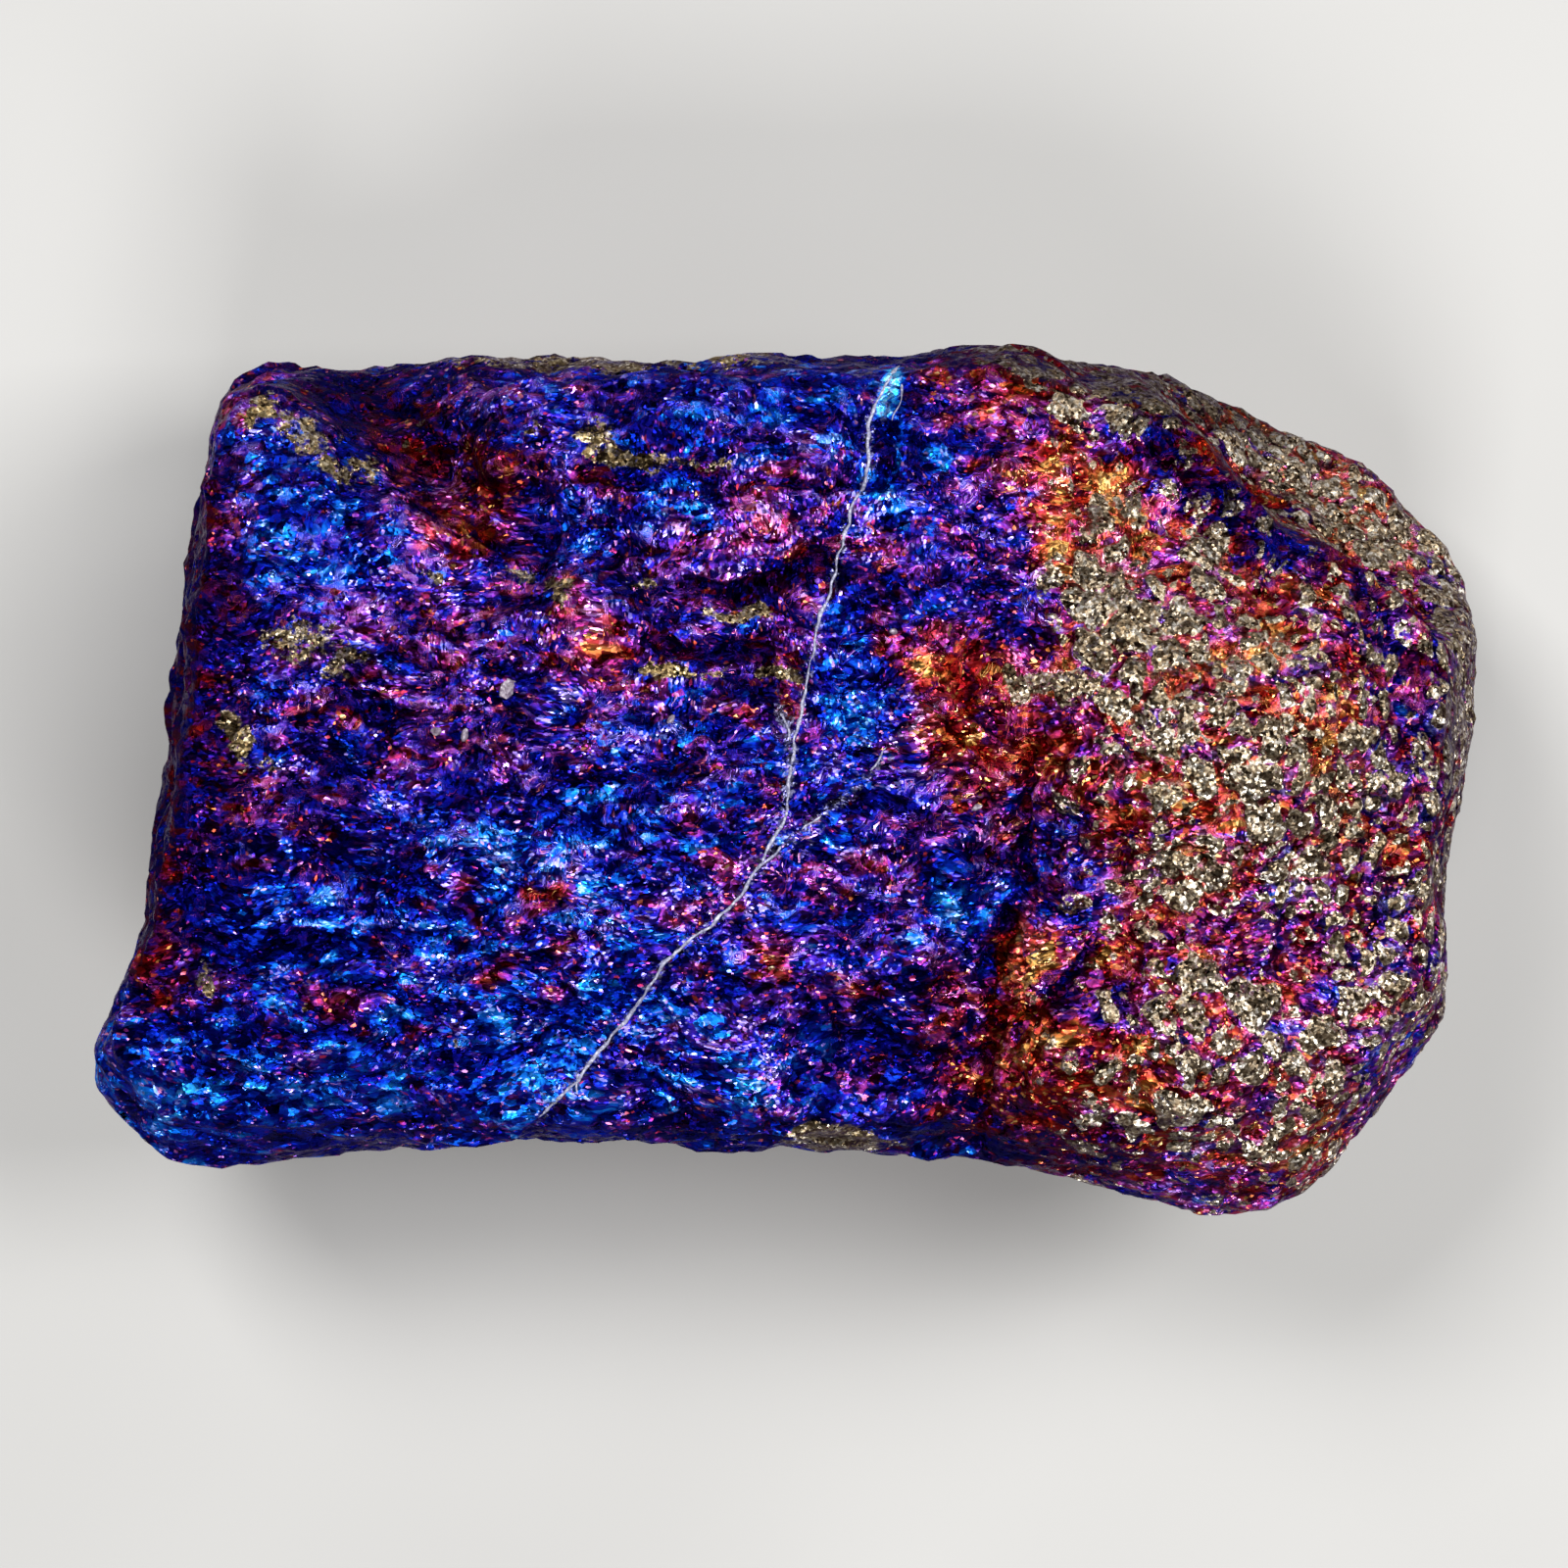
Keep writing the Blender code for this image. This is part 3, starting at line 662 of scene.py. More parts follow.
        # Painted shade: lighter on raised relief and on the bright spots, darker in low relief, in
        # crevices and cracks and on the sides
        raised = np.clip(relief * (1.4 - 0.9 * right), *self.relief_light)
        shade = raised + self.light() + self.opening_light * opening + self.base_light
        shade = shade + self.side_light * (1.0 - self.surface.up)
        return {
            "film": film + plate * (self.sky_plate.value - film),
            "bare": bare + right * (lot - 0.5) * self.grain_bare * ease(bare, 0.05, 0.3),
            # The sky plate is painted bright
            "shade": shade + plate * (self.plate_light - shade),
            "calm": np.maximum(np.clip(self.strongest(self.calm_spots), 0.0, 1.0), plate),
            "grain_edge": self.smooth_edge + right * (edge - self.smooth_edge),
            "swirl": self.swirl * self.surface.wind(3.2, 1, 71.0, 73.0, 79.0),
            "upright": self.upright(),
            "brass": self.brass(),
        }


@dataclass
class GrainBed:
    """The rounded sulphide grains that the right lobe is packed with."""

    spacing: float = 1.9
    height: float = 0.26
    ragged: float = 0.7
    smallest: float = 0.32
    tightness: float = 0.9
    seed: int = 7

    def seeds(self, surface: Surface) -> KDTree:
        """Grain middles scattered over the surface, no two too near.

        Args:
            surface: The ore's surface.

        Returns:
            A tree of the middles.
        """
        rng = random.Random(self.seed)
        order = list(range(len(surface.points)))
        rng.shuffle(order)
        taken: dict[tuple[int, ...], list[tuple[Vector, float]]] = {}
        kept: list[Vector] = []
        for index in order:
            place = Vector(surface.points[index])
            cell = tuple(int(math.floor(c / self.spacing)) for c in place)
            gap = self.spacing * (self.smallest + rng.random() ** 2)
            near = [other for i in (-1, 0, 1) for j in (-1, 0, 1) for k in (-1, 0, 1)
                    for other in taken.get((cell[0] + i, cell[1] + j, cell[2] + k), ())]
            if all((place - other).length > max(gap, room) * self.tightness for other, room in near):
                taken.setdefault(cell, []).append((place, gap))
                kept.append(place)
        tree = KDTree(len(kept))
        for index, place in enumerate(kept):
            tree.insert(place, index)
        tree.balance()
        return tree

    def read(self, surface: Surface) -> tuple[np.ndarray, np.ndarray]:
        """The grains as two fields over the surface.

        Args:
            surface: The ore's surface.

        Returns:
            The distance from each point to its grain's edge, and its grain's own random value.
        """
        tree = self.seeds(surface)
        rng = random.Random(self.seed + 1)
        lots = [rng.random() for _ in range(len(surface.points))]
        edge, lot = np.empty((2, len(surface.points)))
        moved = surface.points + self.ragged * surface.wind(1.5, 3, 41.0, 43.0, 47.0)
        for row, point in enumerate(moved.tolist()):
            (_, grain, near), (_, _, far) = tree.find_n(point, 2)
            edge[row] = (far - near) / 2.0
            lot[row] = lots[grain]
        return edge, lot


@dataclass
class Relief:
    """The fine relief of the ore, as heights out of its plain surface."""

    surface: Surface
    grains: GrainBed = field(default_factory=GrainBed)
    grit: float = 0.06
    swell: float = 0.16
    bed_pitch: float = 1.7
    bed_tread: float = 0.82
    bed_height: float = 0.45
    bed_slope: float = 0.14
    bed_bend: float = 1.9
    bed_fray: float = 0.35
    pit_depth: float = 0.30
    flake_height: float = 0.20
    grain_lift: float = 0.22
    side_chip: float = 0.14
    side_swell: float = 0.24
    tier_pitch: float = 2.3
    tier_tread: float = 0.8
    tier_height: float = 0.42
    tier_slope: float = 0.16
    tier_bend: float = 1.3
    crack_share: float = 1.6
    crack_most: float = 0.5
    crevice_drift: Place = (0.5, 0.45)
    crevices: tuple[Crevice, ...] = (
        # Bedding cracks of the layered part
        Crevice(0.49, 0.66, ((-26.4, -6.8), (-23.6, -7.4), (-21.0, -7.0), (-18.2, -7.5))),
        Crevice(0.32, 0.48, ((-18.0, -6.6), (-16.2, -7.0), (-14.9, -6.6))),
        Crevice(0.43, 0.60, ((-13.9, 11.0), (-12.2, 10.1), (-10.4, 10.5))),
        Crevice(0.32, 0.48, ((-9.2, 13.2), (-6.6, 13.0), (-3.4, 13.3))),
        Crevice(0.29, 0.48, ((-2.6, 12.6), (-0.2, 13.0), (1.8, 12.5))),
        Crevice(0.78, 0.95, ((-2.4, 7.9), (-0.9, 8.4), (0.2, 9.2), (1.2, 9.5))),
        Crevice(0.55, 0.75, ((-5.9, 5.9), (-4.4, 5.4), (-2.8, 5.7), (-1.0, 5.3))),
        Crevice(0.35, 0.48, ((-4.6, 8.5), (-3.2, 8.2), (-2.4, 8.5))),
        Crevice(0.35, 0.48, ((-18.6, -4.8), (-17.0, -4.3), (-15.2, -4.9))),
        Crevice(0.32, 0.48, ((-23.4, -10.8), (-21.4, -11.5), (-19.6, -11.1))),
        Crevice(0.32, 0.48, ((-12.2, -9.8), (-10.2, -10.4), (-8.2, -10.1))),
        Crevice(0.32, 0.48, ((-9.0, 0.4), (-7.0, 0.1), (-5.4, 0.5))),
        Crevice(0.35, 0.48, ((-21.6, 2.6), (-19.6, 3.1), (-17.6, 2.7))),
        Crevice(0.35, 0.48, ((-13.4, 4.9), (-11.6, 4.4), (-10.0, 5.0))),
        Crevice(0.29, 0.36, ((-3.2, -8.6), (-1.2, -9.0), (1.0, -8.7))),
        Crevice(0.29, 0.36, ((0.8, -1.2), (3.2, -0.8), (5.6, -1.3))),
        Crevice(0.29, 0.36, ((-24.6, 9.4), (-22.4, 8.9), (-20.6, 9.3))),
        # Seam between the layered part and the right lobe, and the deep crease beside it
        Crevice(0.49, 0.72, ((10.4, 0.9), (10.2, -1.6), (9.9, -4.2))),
        Crevice(0.61, 0.84, ((9.4, -6.0), (8.7, -8.4), (8.6, -10.6))),
        Crevice(0.43, 0.60, ((8.7, -11.6), (8.2, -13.8), (8.1, -16.0))),
        Crevice(0.38, 0.48, ((13.2, -7.4), (11.8, -8.9), (10.2, -10.3))),
        Crevice(0.58, 0.72, ((3.4, -10.8), (4.8, -12.0), (6.4, -12.2))),
        # Slot by the vein, steep notch and the foot of the shoulder
        Crevice(0.38, 0.60, ((3.9, 15.4), (4.1, 14.4), (4.0, 13.6))),
        Crevice(0.35, 0.48, ((-17.6, 17.0), (-16.2, 15.6), (-15.6, 14.2))),
        Crevice(0.38, 0.48, ((14.6, 14.9), (17.0, 13.2), (19.4, 11.9))),
        Crevice(0.35, 0.48, ((19.9, 11.3), (21.6, 10.1), (23.2, 9.6))),
    )
    edge: np.ndarray = field(init=False)
    lot: np.ndarray = field(init=False)
    right: np.ndarray = field(init=False)

    def __post_init__(self) -> None:
        """Reads the grains and finds where the right lobe begins."""
        self.edge, self.lot = self.grains.read(self.surface)
        self.right = ease(self.surface.x + 0.9 * self.surface.clouds(3.0, 2, 5.0), LOBE_START, LOBE_FULL)

    def beds(self) -> tuple[np.ndarray, np.ndarray]:
        """The stepped beds of the layered part.

        Returns:
            Their heights, and how open the crack at the foot of each step is.
        """
        surface = self.surface
        level = surface.y + self.bed_slope * surface.x + self.bed_bend * surface.clouds(5.0, 2, 13.0)
        level = level + self.bed_fray * surface.clouds(1.4, 2, 17.0)
        share, steps = stepped(level, self.bed_pitch, self.bed_tread)
        tall = np.clip(0.14 + 0.75 * surface.clouds(2.8, 2, 19.0), 0.0, self.bed_height)
        return tall * steps, self.crack_share * tall * ease(np.abs(share - 0.99), 0.16, 0.02)

    def pits(self) -> np.ndarray:
        """Small pits, and flakes that stand between them.

        Returns:
            Heights.
        """
        middle, _ = self.surface.chips(1.0, 4.0, (0.5, 1.25, 1.0))
        _, border = self.surface.chips(2.6, 9.0, (0.7, 1.25, 1.0))
        pits = (1.0 - ease(middle, 0.12, 0.42)) * ease(self.surface.clouds(2.2, 1, 23.0), 0.0, 0.2)
        return self.flake_height * (ease(border, 0.0, 0.16) - 0.8) - self.pit_depth * pits

    def sides(self) -> np.ndarray:
        """Chips, swells and broken tiers of the sides.

        Returns:
            Heights.
        """
        surface = self.surface
        _, border = surface.chips(3.4, 15.0)
        height = self.side_chip * (ease(border, 0.0, 0.3) - 0.4)
        height += self.side_swell * surface.clouds(4.4, 4, 16.0)
        level = surface.z + self.tier_slope * surface.x + self.tier_bend * surface.clouds(5.0, 3, 91.0)
        _, tiers = stepped(level, self.tier_pitch, self.tier_tread)
        return height + self.tier_height * tiers * ease(surface.clouds(3.4, 2, 93.0), -0.3, 0.25)

    def openings(self, feet: np.ndarray) -> tuple[np.ndarray, np.ndarray]:
        """The crevices and the cracks at the feet of the beds.

        Args:
            feet: How open the crack at the foot of each bed is.

        Returns:
            How deep the crevices are at each point, and how open all openings are.
        """
        surface = self.surface
        x = surface.x + self.crevice_drift[0] * surface.clouds(1.3, 3, 27.0)
        y = surface.y + self.crevice_drift[1] * surface.clouds(1.1, 3, 29.0)
        broken = 0.5 + 0.5 * ease(surface.clouds(1.4, 2, 37.0), -0.45, 0.05)
        depth, open_share = np.zeros(x.shape), np.clip(feet, 0.0, self.crack_most)
        for crevice in self.crevices:
            opening = crevice.opening(x, y) * broken * surface.up
            depth += crevice.depth * opening
            open_share = np.maximum(open_share, opening)
        return depth, open_share

    def fields(self) -> dict[str, np.ndarray]:
        """The whole relief, and what the tarnish needs to know of it.

        Returns:
            The fields by name, with the relief in millimetres out of the surface.
        """
        surface, right, up = self.surface, self.right, self.surface.up
        bedded = (1.0 - right) * up
        beds, feet = self.beds()
        depth, open_share = self.openings(bedded * feet)
        height = self.grit * surface.clouds(0.9, 3, 2.0) + self.swell * surface.clouds(2.6, 3, 8.0)
        height += bedded * (beds + self.pits())
        grain = self.grains.height * (ease(self.edge, 0.0, 0.38) - 0.6)
        grain += self.grain_lift * (self.lot - 0.5)
        height += right * (0.35 + 0.65 * up) * grain
        height += (1.0 - up) * (1.0 - 0.6 * right) * self.sides() - depth
        return {"relief": height * ease(surface.z, 0.05, 0.8), "opening": open_share,
                "grain_edge": self.edge, "grain_lot": self.lot}


class NodeBench:
    """A material under work, with a method for each kind of node that the finishes use."""

    def __init__(self, name: str) -> None:
        """Starts an empty material with its shader.

        Args:
            name: The material's name.
        """
        self.material = bpy.data.materials.new(name)
        self.material.use_nodes = True
        self.tree = self.material.node_tree
        self.shader = self.tree.nodes["Principled BSDF"]

    def feed(self, node: bpy.types.Node, inputs: Inputs) -> None:
        """Links or sets the inputs of a node.

        Args:
            node: The node.
            inputs: The socket or the plain value of each input, by its name or number.
        """
        for name, value in inputs.items():
            if isinstance(value, Socket):
                self.tree.links.new(value, node.inputs[name])
            else:
                node.inputs[name].default_value = value

    def node(self, kind: str, inputs: Inputs, **settings: str) -> bpy.types.Node:
        """Adds a node.

        Args:
            kind: The kind of node.
            inputs: The socket or the plain value of each input, by its name or number.
            settings: The node's own settings.

        Returns:
            The node.
        """
        node = self.tree.nodes.new("ShaderNode" + kind)
        for name, value in settings.items():
            setattr(node, name, value)
        self.feed(node, inputs)
        return node

    def dressed(self, inputs: Inputs) -> bpy.types.Material:
        """The finished material, once the shader's own inputs are fed."""
        self.feed(self.shader, inputs)
        return self.material

    def place(self, weave: Weave = Weave.EVEN) -> Socket:
        """The place on the ore in millimetres, stretched and turned as the weave says."""
        inputs = {"Vector": self.node("TexCoord", {}).outputs["Object"],
                  "Rotation": (0.0, 0.0, weave.turn), "Scale": [s / MM for s in weave.squeeze]}
        return self.node("Mapping", inputs).outputs["Vector"]

    def field(self, name: str) -> Socket:
        """The value of a field that the mesh carries."""
        return self.node("Attribute", {}, attribute_name=name).outputs["Fac"]

    def arrow(self, name: str) -> Socket:
        """The arrow of a field that the mesh carries."""
        return self.node("Attribute", {}, attribute_name=name).outputs["Vector"]

    def haze(self, place: Socket, size: float, detail: float, roughness: float) -> Outputs:
        """Soft noise as a value and as a colour, both around 0.5."""
        return self.node("TexNoise", {"Vector": place, "Scale": 1.0 / size, "Detail": detail,
                                      "Roughness": roughness}).outputs

    def clouds(self, place: Socket, size: float, detail: float, roughness: float = 0.7) -> Socket:
        """Soft noise as a value around 0.5."""
        return self.haze(place, size, detail, roughness)["Fac"]

    def drift(self, place: Socket, size: float, reach: float) -> Socket:
        """A place moved by noise of a size, by up to about its reach."""
        push = self.haze(place, size, 0.0, 0.5)["Color"]
        return self.vector("MULTIPLY_ADD", push, (reach, reach, reach), place)

    def crystals(self, place: Socket, size: float) -> Socket:
        """Crystals packed side by side, each with its own random colour."""
        return self.node("TexVoronoi", {"Vector": place, "Scale": 1.0 / size}).outputs["Color"]

    def split(self, colour: Socket) -> Outputs:
        """The red, green and blue of a colour."""
        return self.node("SeparateColor", {"Color": colour}).outputs

    def vector(self, kind: str, *parts: Socket | Triple) -> Socket:
        """One vector operation on its parts."""
        return self.node("VectorMath", dict(enumerate(parts)), operation=kind).outputs["Vector"]

    def lean(self, colour: Socket, tilt: float) -> Socket:
        """How a face leans, from its random colour and the slope of the steepest face."""
        return self.vector("MULTIPLY_ADD", colour, (2.0 * tilt,) * 3, (-tilt,) * 3)

    def leaned(self, lean: Socket) -> Socket:
        """The surface's normal, tipped by a lean.

        Args:
            lean: The lean in the object's own directions.

        Returns:
            The tipped normal.
        """
        turned = self.node("VectorTransform", {"Vector": lean}, vector_type="VECTOR",
                           convert_from="OBJECT", convert_to="WORLD")
        straight = self.node("NewGeometry", {})
        return self.vector("NORMALIZE", self.vector("ADD", straight.outputs["Normal"],
                                                    turned.outputs["Vector"]))

    def bump(self, height: Socket, strength: float) -> Socket:
        """A normal bent by a share of a height in millimetres."""
        return self.node("Bump", {"Strength": strength, "Distance": MM,
                                  "Height": height}).outputs["Normal"]

    def worked(self, kind: str, first: Socket | float, second: Socket | float) -> Socket:
        """One arithmetic operation on two numbers."""
        return self.node("Math", {0: first, 1: second}, operation=kind).outputs["Value"]

    def total(self, *parts: Socket) -> Socket:
        """The sum of all parts."""
        return reduce(lambda first, second: self.worked("ADD", first, second), parts)

    def times(self, *parts: Socket | float) -> Socket:
        """The product of all parts."""
        return reduce(lambda first, second: self.worked("MULTIPLY", first, second), parts)

    def rest(self, share: Socket) -> Socket:
        """What a share leaves of 1."""
        return self.worked("SUBTRACT", 1.0, share)

    def swing(self, value: Socket, reach: float) -> Socket:
        """A value around 0.5 turned into one around 0, times reach."""
        return self.times(self.worked("SUBTRACT", value, 0.5), reach)

    def jump(self, value: Socket, reach: float) -> Socket:
        """A value around 0.5 turned into one near 0 that seldom comes near plus or minus reach."""
        swing = self.swing(value, 2.0)
        return self.times(swing, swing, swing, reach)

    def range(self, value: Socket, low: float, high: float, start: float = 0.0,
              end: float = 1.0) -> Socket:
        """Eases a value from start at low to end at high."""
        return self.node("MapRange", {"Value": value, "From Min": low, "From Max": high,
                                      "To Min": start, "To Max": end},
                         interpolation_type="SMOOTHSTEP").outputs["Result"]

    def ramp(self, value: Socket, stops: Stops) -> Socket:
        """Colours along a value.

        Args:
            value: The value.
            stops: Positions and their display colours.

        Returns:
            The colour.
        """
        node = self.node("ValToRGB", {"Fac": value})
        band = node.color_ramp.elements
        band[0].position, band[-1].position = stops[0][0], stops[-1][0]
        band[0].color, band[-1].color = linear(*stops[0][1]), linear(*stops[-1][1])
        for position, colour in stops[1:-1]:
            band.new(position).color = linear(*colour)
        return node.outputs["Color"]

    def mix(self, kind: str, share: Socket | float, first: Socket, second: Socket | Tint) -> Socket:
        """Mixes a share of the second colour into the first one."""
        return self.node("Mix", {"Factor": share, 6: first, 7: second},
                         data_type="RGBA", blend_type=kind).outputs[2]

    def blend(self, share: Socket, first: Socket, second: Socket) -> Socket:
        """Blends a share of the second vector into the first one."""
        return self.node("Mix", {"Factor": share, 4: first, 5: second},
                         data_type="VECTOR").outputs[1]


@dataclass(frozen=True)
class TarnishFinish:
    """Tarnished sulphide: a mosaic of tiny crystal faces under a film of every rainbow colour."""

    name: str = "tarnished_ore"
    chip: float = 0.85
    crystal: float = 0.35
    fleck: float = 0.14
    grit: float = 0.15
    lump: float = 0.75
    crystal_tilt: float = 0.55
    fleck_tilt: float = 0.65
    grit_tilt: float = 0.75
    lump_tilt: float = 0.8
    bed_drift: tuple[float, float] = (0.7, 0.24)
    fleck_drift: tuple[float, float] = (0.45, 0.12)
    speck_share: float = 0.9
    speck_film: float = -0.36
    fleck_film: float = 0.10
    film_jump: float = 0.22
    # Painted light and shade from lumps, crystals, chips, calm fields and specks, which darken or pale
    # the colour
    lump_light: float = 1.9
    crystal_light: float = 0.4
    chip_light: float = 0.25
    calm_light: float = -0.10
    speck_light: float = 0.7
    calm_evens: float = 0.5
    calm_flattens: float = 0.6
    dust_most: float = 0.7
    worn_most: float = 0.18
    metallic: float = 0.92
    edge_tint: Tint = (0.45, 0.40, 0.55, 1.0)
    # Tint of the painted shade in pits
    pit_shade_tint: Tint = (0.5, 0.4, 0.55, 1.0)
    # Tint of the painted glints
    glint_tint: Tint = (0.66, 0.54, 0.90, 1.0)
    # Tint of the painted shade on bare metal
    metal_shade_tint: Tint = (0.1, 0.08, 0.08, 1.0)
    dust_tint: Tint = linear(118, 118, 150)
    film_colours: Stops = (
        (0.00, (184, 140, 76)), (0.09, (194, 112, 56)), (0.18, (186, 76, 52)), (0.27, (166, 48, 56)),
        (0.36, (148, 36, 78)), (0.46, (138, 42, 122)), (0.56, (104, 40, 146)), (0.66, (56, 28, 146)),
        (0.77, (16, 20, 154)), (0.87, (6, 50, 178)), (1.00, (14, 112, 214)), (1.14, (16, 114, 212)),
        (1.30, (52, 176, 242)),
    )
    # Bare metal ramps: grain-by-grain tone, with their lightest stops as painted glints
    brass_and_glint_colours: Stops = (
        (0.26, (38, 26, 16)), (0.42, (98, 80, 50)), (0.58, (142, 124, 84)), (0.72, (232, 214, 180)),
    )
    metal_and_glint_colours: Stops = (
        (0.28, (44, 30, 20)), (0.43, (106, 90, 70)), (0.58, (158, 144, 124)), (0.72, (252, 247, 238)),
    )

    def build(self) -> bpy.types.Material:
        """Makes the finish.

        Returns:
            The material.
        """
        bench = NodeBench(self.name)
        place, swirl, calm = bench.place(), bench.arrow("swirl"), bench.field("calm")
        bedded = bench.drift(bench.vector("ADD", bench.place(Weave.BEDDED), swirl), *self.bed_drift)
        upright = bench.vector("ADD", bench.place(Weave.UPRIGHT), swirl)
        torn = bench.drift(bench.blend(bench.field("upright"), bedded, upright), *self.fleck_drift)
        crystals, flecks = bench.crystals(bedded, self.crystal), bench.crystals(torn, self.fleck)
        grit, lumps = bench.crystals(place, self.grit), bench.haze(bedded, self.lump, 2.0, 0.7)
        chips = bench.split(bench.crystals(bedded, self.chip))
        own, fine = bench.split(crystals), bench.split(flecks)

        # Painted light and shade: lumps, crystals and chips lit or shaded at random, the painted shade
        # field, calm fields a little dimmer, and specks painted bright as glints
        uneven = bench.times(bench.swing(lumps["Fac"], self.lump_light),
                             bench.rest(bench.times(calm, self.calm_evens)))
        light = bench.total(
            uneven, bench.swing(own["Green"], self.crystal_light),
            bench.swing(chips["Green"], self.chip_light), bench.field("shade"),
            bench.times(calm, self.calm_light),
            bench.range(fine["Green"], self.speck_share, 1.0, 0.0, self.speck_light),
        )
        coloured = self.film_colour(bench, self.film_value(bench, own, fine, chips), light, fine)
        coloured = bench.mix("MIX", self.dust_share(bench, place), coloured, self.dust_tint)
        metal = self.metal_colour(bench, place, bench.split(grit), own)
        worn = bench.range(bench.field("bare"), 0.3, 0.9, 0.0, self.worn_most)
        coloured = bench.mix("MIX", worn, coloured, metal)
        bare = self.bare_share(bench, place, chips)

        smooth = bench.vector("MULTIPLY", bench.lean(flecks, self.fleck_tilt),
                              bench.rest(bench.times(calm, self.calm_flattens)))
        faces = bench.blend(bare, smooth, bench.lean(grit, self.grit_tilt))
        faces = bench.vector("ADD", faces, bench.lean(crystals, self.crystal_tilt))
        faces = bench.vector("ADD", faces, bench.lean(lumps["Color"], self.lump_tilt))
        return bench.dressed({
            "Base Color": bench.mix("MIX", bare, coloured, metal),
            "Roughness": bench.range(bench.total(fine["Red"], own["Blue"]), 0.4, 1.6, 0.2, 0.5),
            "Metallic": self.metallic,
            "Specular Tint": self.edge_tint,
            "Normal": bench.leaned(faces),
        })

    def dust_share(self, bench: NodeBench, place: Socket) -> Socket:
        """The share of pale dust beside the vein.

        Args:
            bench: The material under work.
            place: The place on the ore.

        Returns:
            The share of dust.
        """
        ragged = bench.swing(bench.clouds(place, 0.24, 2.0), 2.4)
        dusty = bench.range(bench.total(bench.field("dust"), ragged), 0.6, 1.0)
        return bench.times(dusty, self.dust_most)

    def film_value(self, bench: NodeBench, own: Outputs, fine: Outputs, chips: Outputs) -> Socket:
        """The thickness of the film, which jumps from chip to chip.

        Args:
            bench: The material under work.
            own: Random numbers of each crystal.
            fine: Random numbers of each fleck.
            chips: Random numbers of each chip.

        Returns:
            The thickness.
        """
        return bench.total(
            bench.field("film"), bench.jump(chips["Red"], self.film_jump),
            bench.jump(own["Red"], self.film_jump), bench.swing(fine["Red"], self.fleck_film),
            bench.range(fine["Green"], self.speck_share, 1.0, 0.0, self.speck_film),
        )

    def film_colour(self, bench: NodeBench, film: Socket, light: Socket, fine: Outputs) -> Socket:
        """The film's colour, with painted shade in pits and painted glints on the faces that flash.

        Args:
            bench: The material under work.
            film: The film's thickness.
            light: How much painted light or painted shade the spot gets.
            fine: Random numbers of each fleck.

        Returns:
            The colour.
        """
        thickest = self.film_colours[-1][0]
        stops = tuple((place / thickest, shade) for place, shade in self.film_colours)
        colour = bench.ramp(bench.times(film, 1.0 / thickest), stops)
        # Painted shade: the colour multiplied by itself and darkened where the light is low
        deep = bench.mix("MULTIPLY", 1.0, bench.mix("MULTIPLY", 1.0, colour, colour), self.pit_shade_tint)
        colour = bench.mix("MIX", bench.range(light, 0.75, 0.15), colour, deep)
        # Painted glints: where the light is highest, the colour is screened toward a pale lilac
        flash = bench.range(bench.total(light, bench.swing(fine["Blue"], 1.5)), 1.02, 1.5)
        pale = bench.mix("MIX", bench.range(film, 0.1, 0.45, 0.08, 0.34), colour, self.glint_tint)
        return bench.mix("SCREEN", flash, colour, pale)

    def metal_colour(self, bench: NodeBench, place: Socket, fine: Outputs, own: Outputs) -> Socket:
        """The colour of bare sulphide, which sparkles grain by grain with painted glints and takes
        painted shade where the shade field is low.

        Args:
            bench: The material under work.
            place: Where the patterns are read.
            fine: Random numbers of each grain of grit.
            own: Random numbers of each crystal.

        Returns:
            The colour.
        """
        # Grain-by-grain tone, whose brightest specks are painted glints
        speckle_and_glint = bench.total(bench.times(bench.clouds(place, 0.2, 2.0, 0.75), 0.52),
                              bench.times(fine["Green"], 0.30), bench.times(own["Green"], 0.18))
        metal = bench.mix("MIX", bench.field("brass"), bench.ramp(speckle_and_glint, self.metal_and_glint_colours),
                          bench.ramp(speckle_and_glint, self.brass_and_glint_colours))
        # Painted shade: bare metal is darkened where the shade field is low
        lit = bench.range(bench.field("shade"), -0.2, 0.5, 0.3, 1.0)
        return bench.mix("MULTIPLY", bench.rest(lit), metal, self.metal_shade_tint)

    def bare_share(self, bench: NodeBench, place: Socket, chips: Outputs) -> Socket:
        """Where the film is gone: on the grains, not in the seams between them.

        Args:
            bench: The material under work.
            place: Where the patterns are read.
            chips: Random numbers of each chip.

        Returns:
            The share of bare metal.
        """
        edge = bench.field("grain_edge")
        level = bench.total(
            bench.field("bare"), bench.swing(bench.clouds(place, 0.5, 3.0), 1.0),
            bench.range(edge, 0.0, 0.16, -0.42, 0.0), bench.swing(bench.range(edge, 0.0, 0.34), 0.8),
            bench.swing(chips["Blue"], 0.10),
        )
        return bench.range(level, 0.40, 0.52)


@dataclass(frozen=True)
class MineralFinish:
    """Dull pale mineral with a fine grain."""

    name: str
    grain: float
    colours: Stops
    roughness: float
    relief: float

    def build(self) -> bpy.types.Material:
        """Makes the finish.

        Returns:
            The material.
        """
        bench = NodeBench(self.name)
        grain = bench.clouds(bench.place(), self.grain, 3.0)
        return bench.dressed({"Base Color": bench.ramp(grain, self.colours),
                              "Roughness": self.roughness, "Normal": bench.bump(grain, self.relief)})


VEIN_STONE = MineralFinish(
    "pale_vein", grain=0.16, roughness=0.6, relief=0.08,
    colours=((0.3, (66, 64, 92)), (0.5, (118, 118, 140)), (0.7, (184, 184, 196))),
)
PINK_CRYSTAL = MineralFinish(
    "pale_crystal", grain=0.3, roughness=0.35, relief=0.15,
    colours=((0.3, (62, 48, 60)), (0.5, (104, 92, 106)), (0.7, (158, 150, 160))),
)


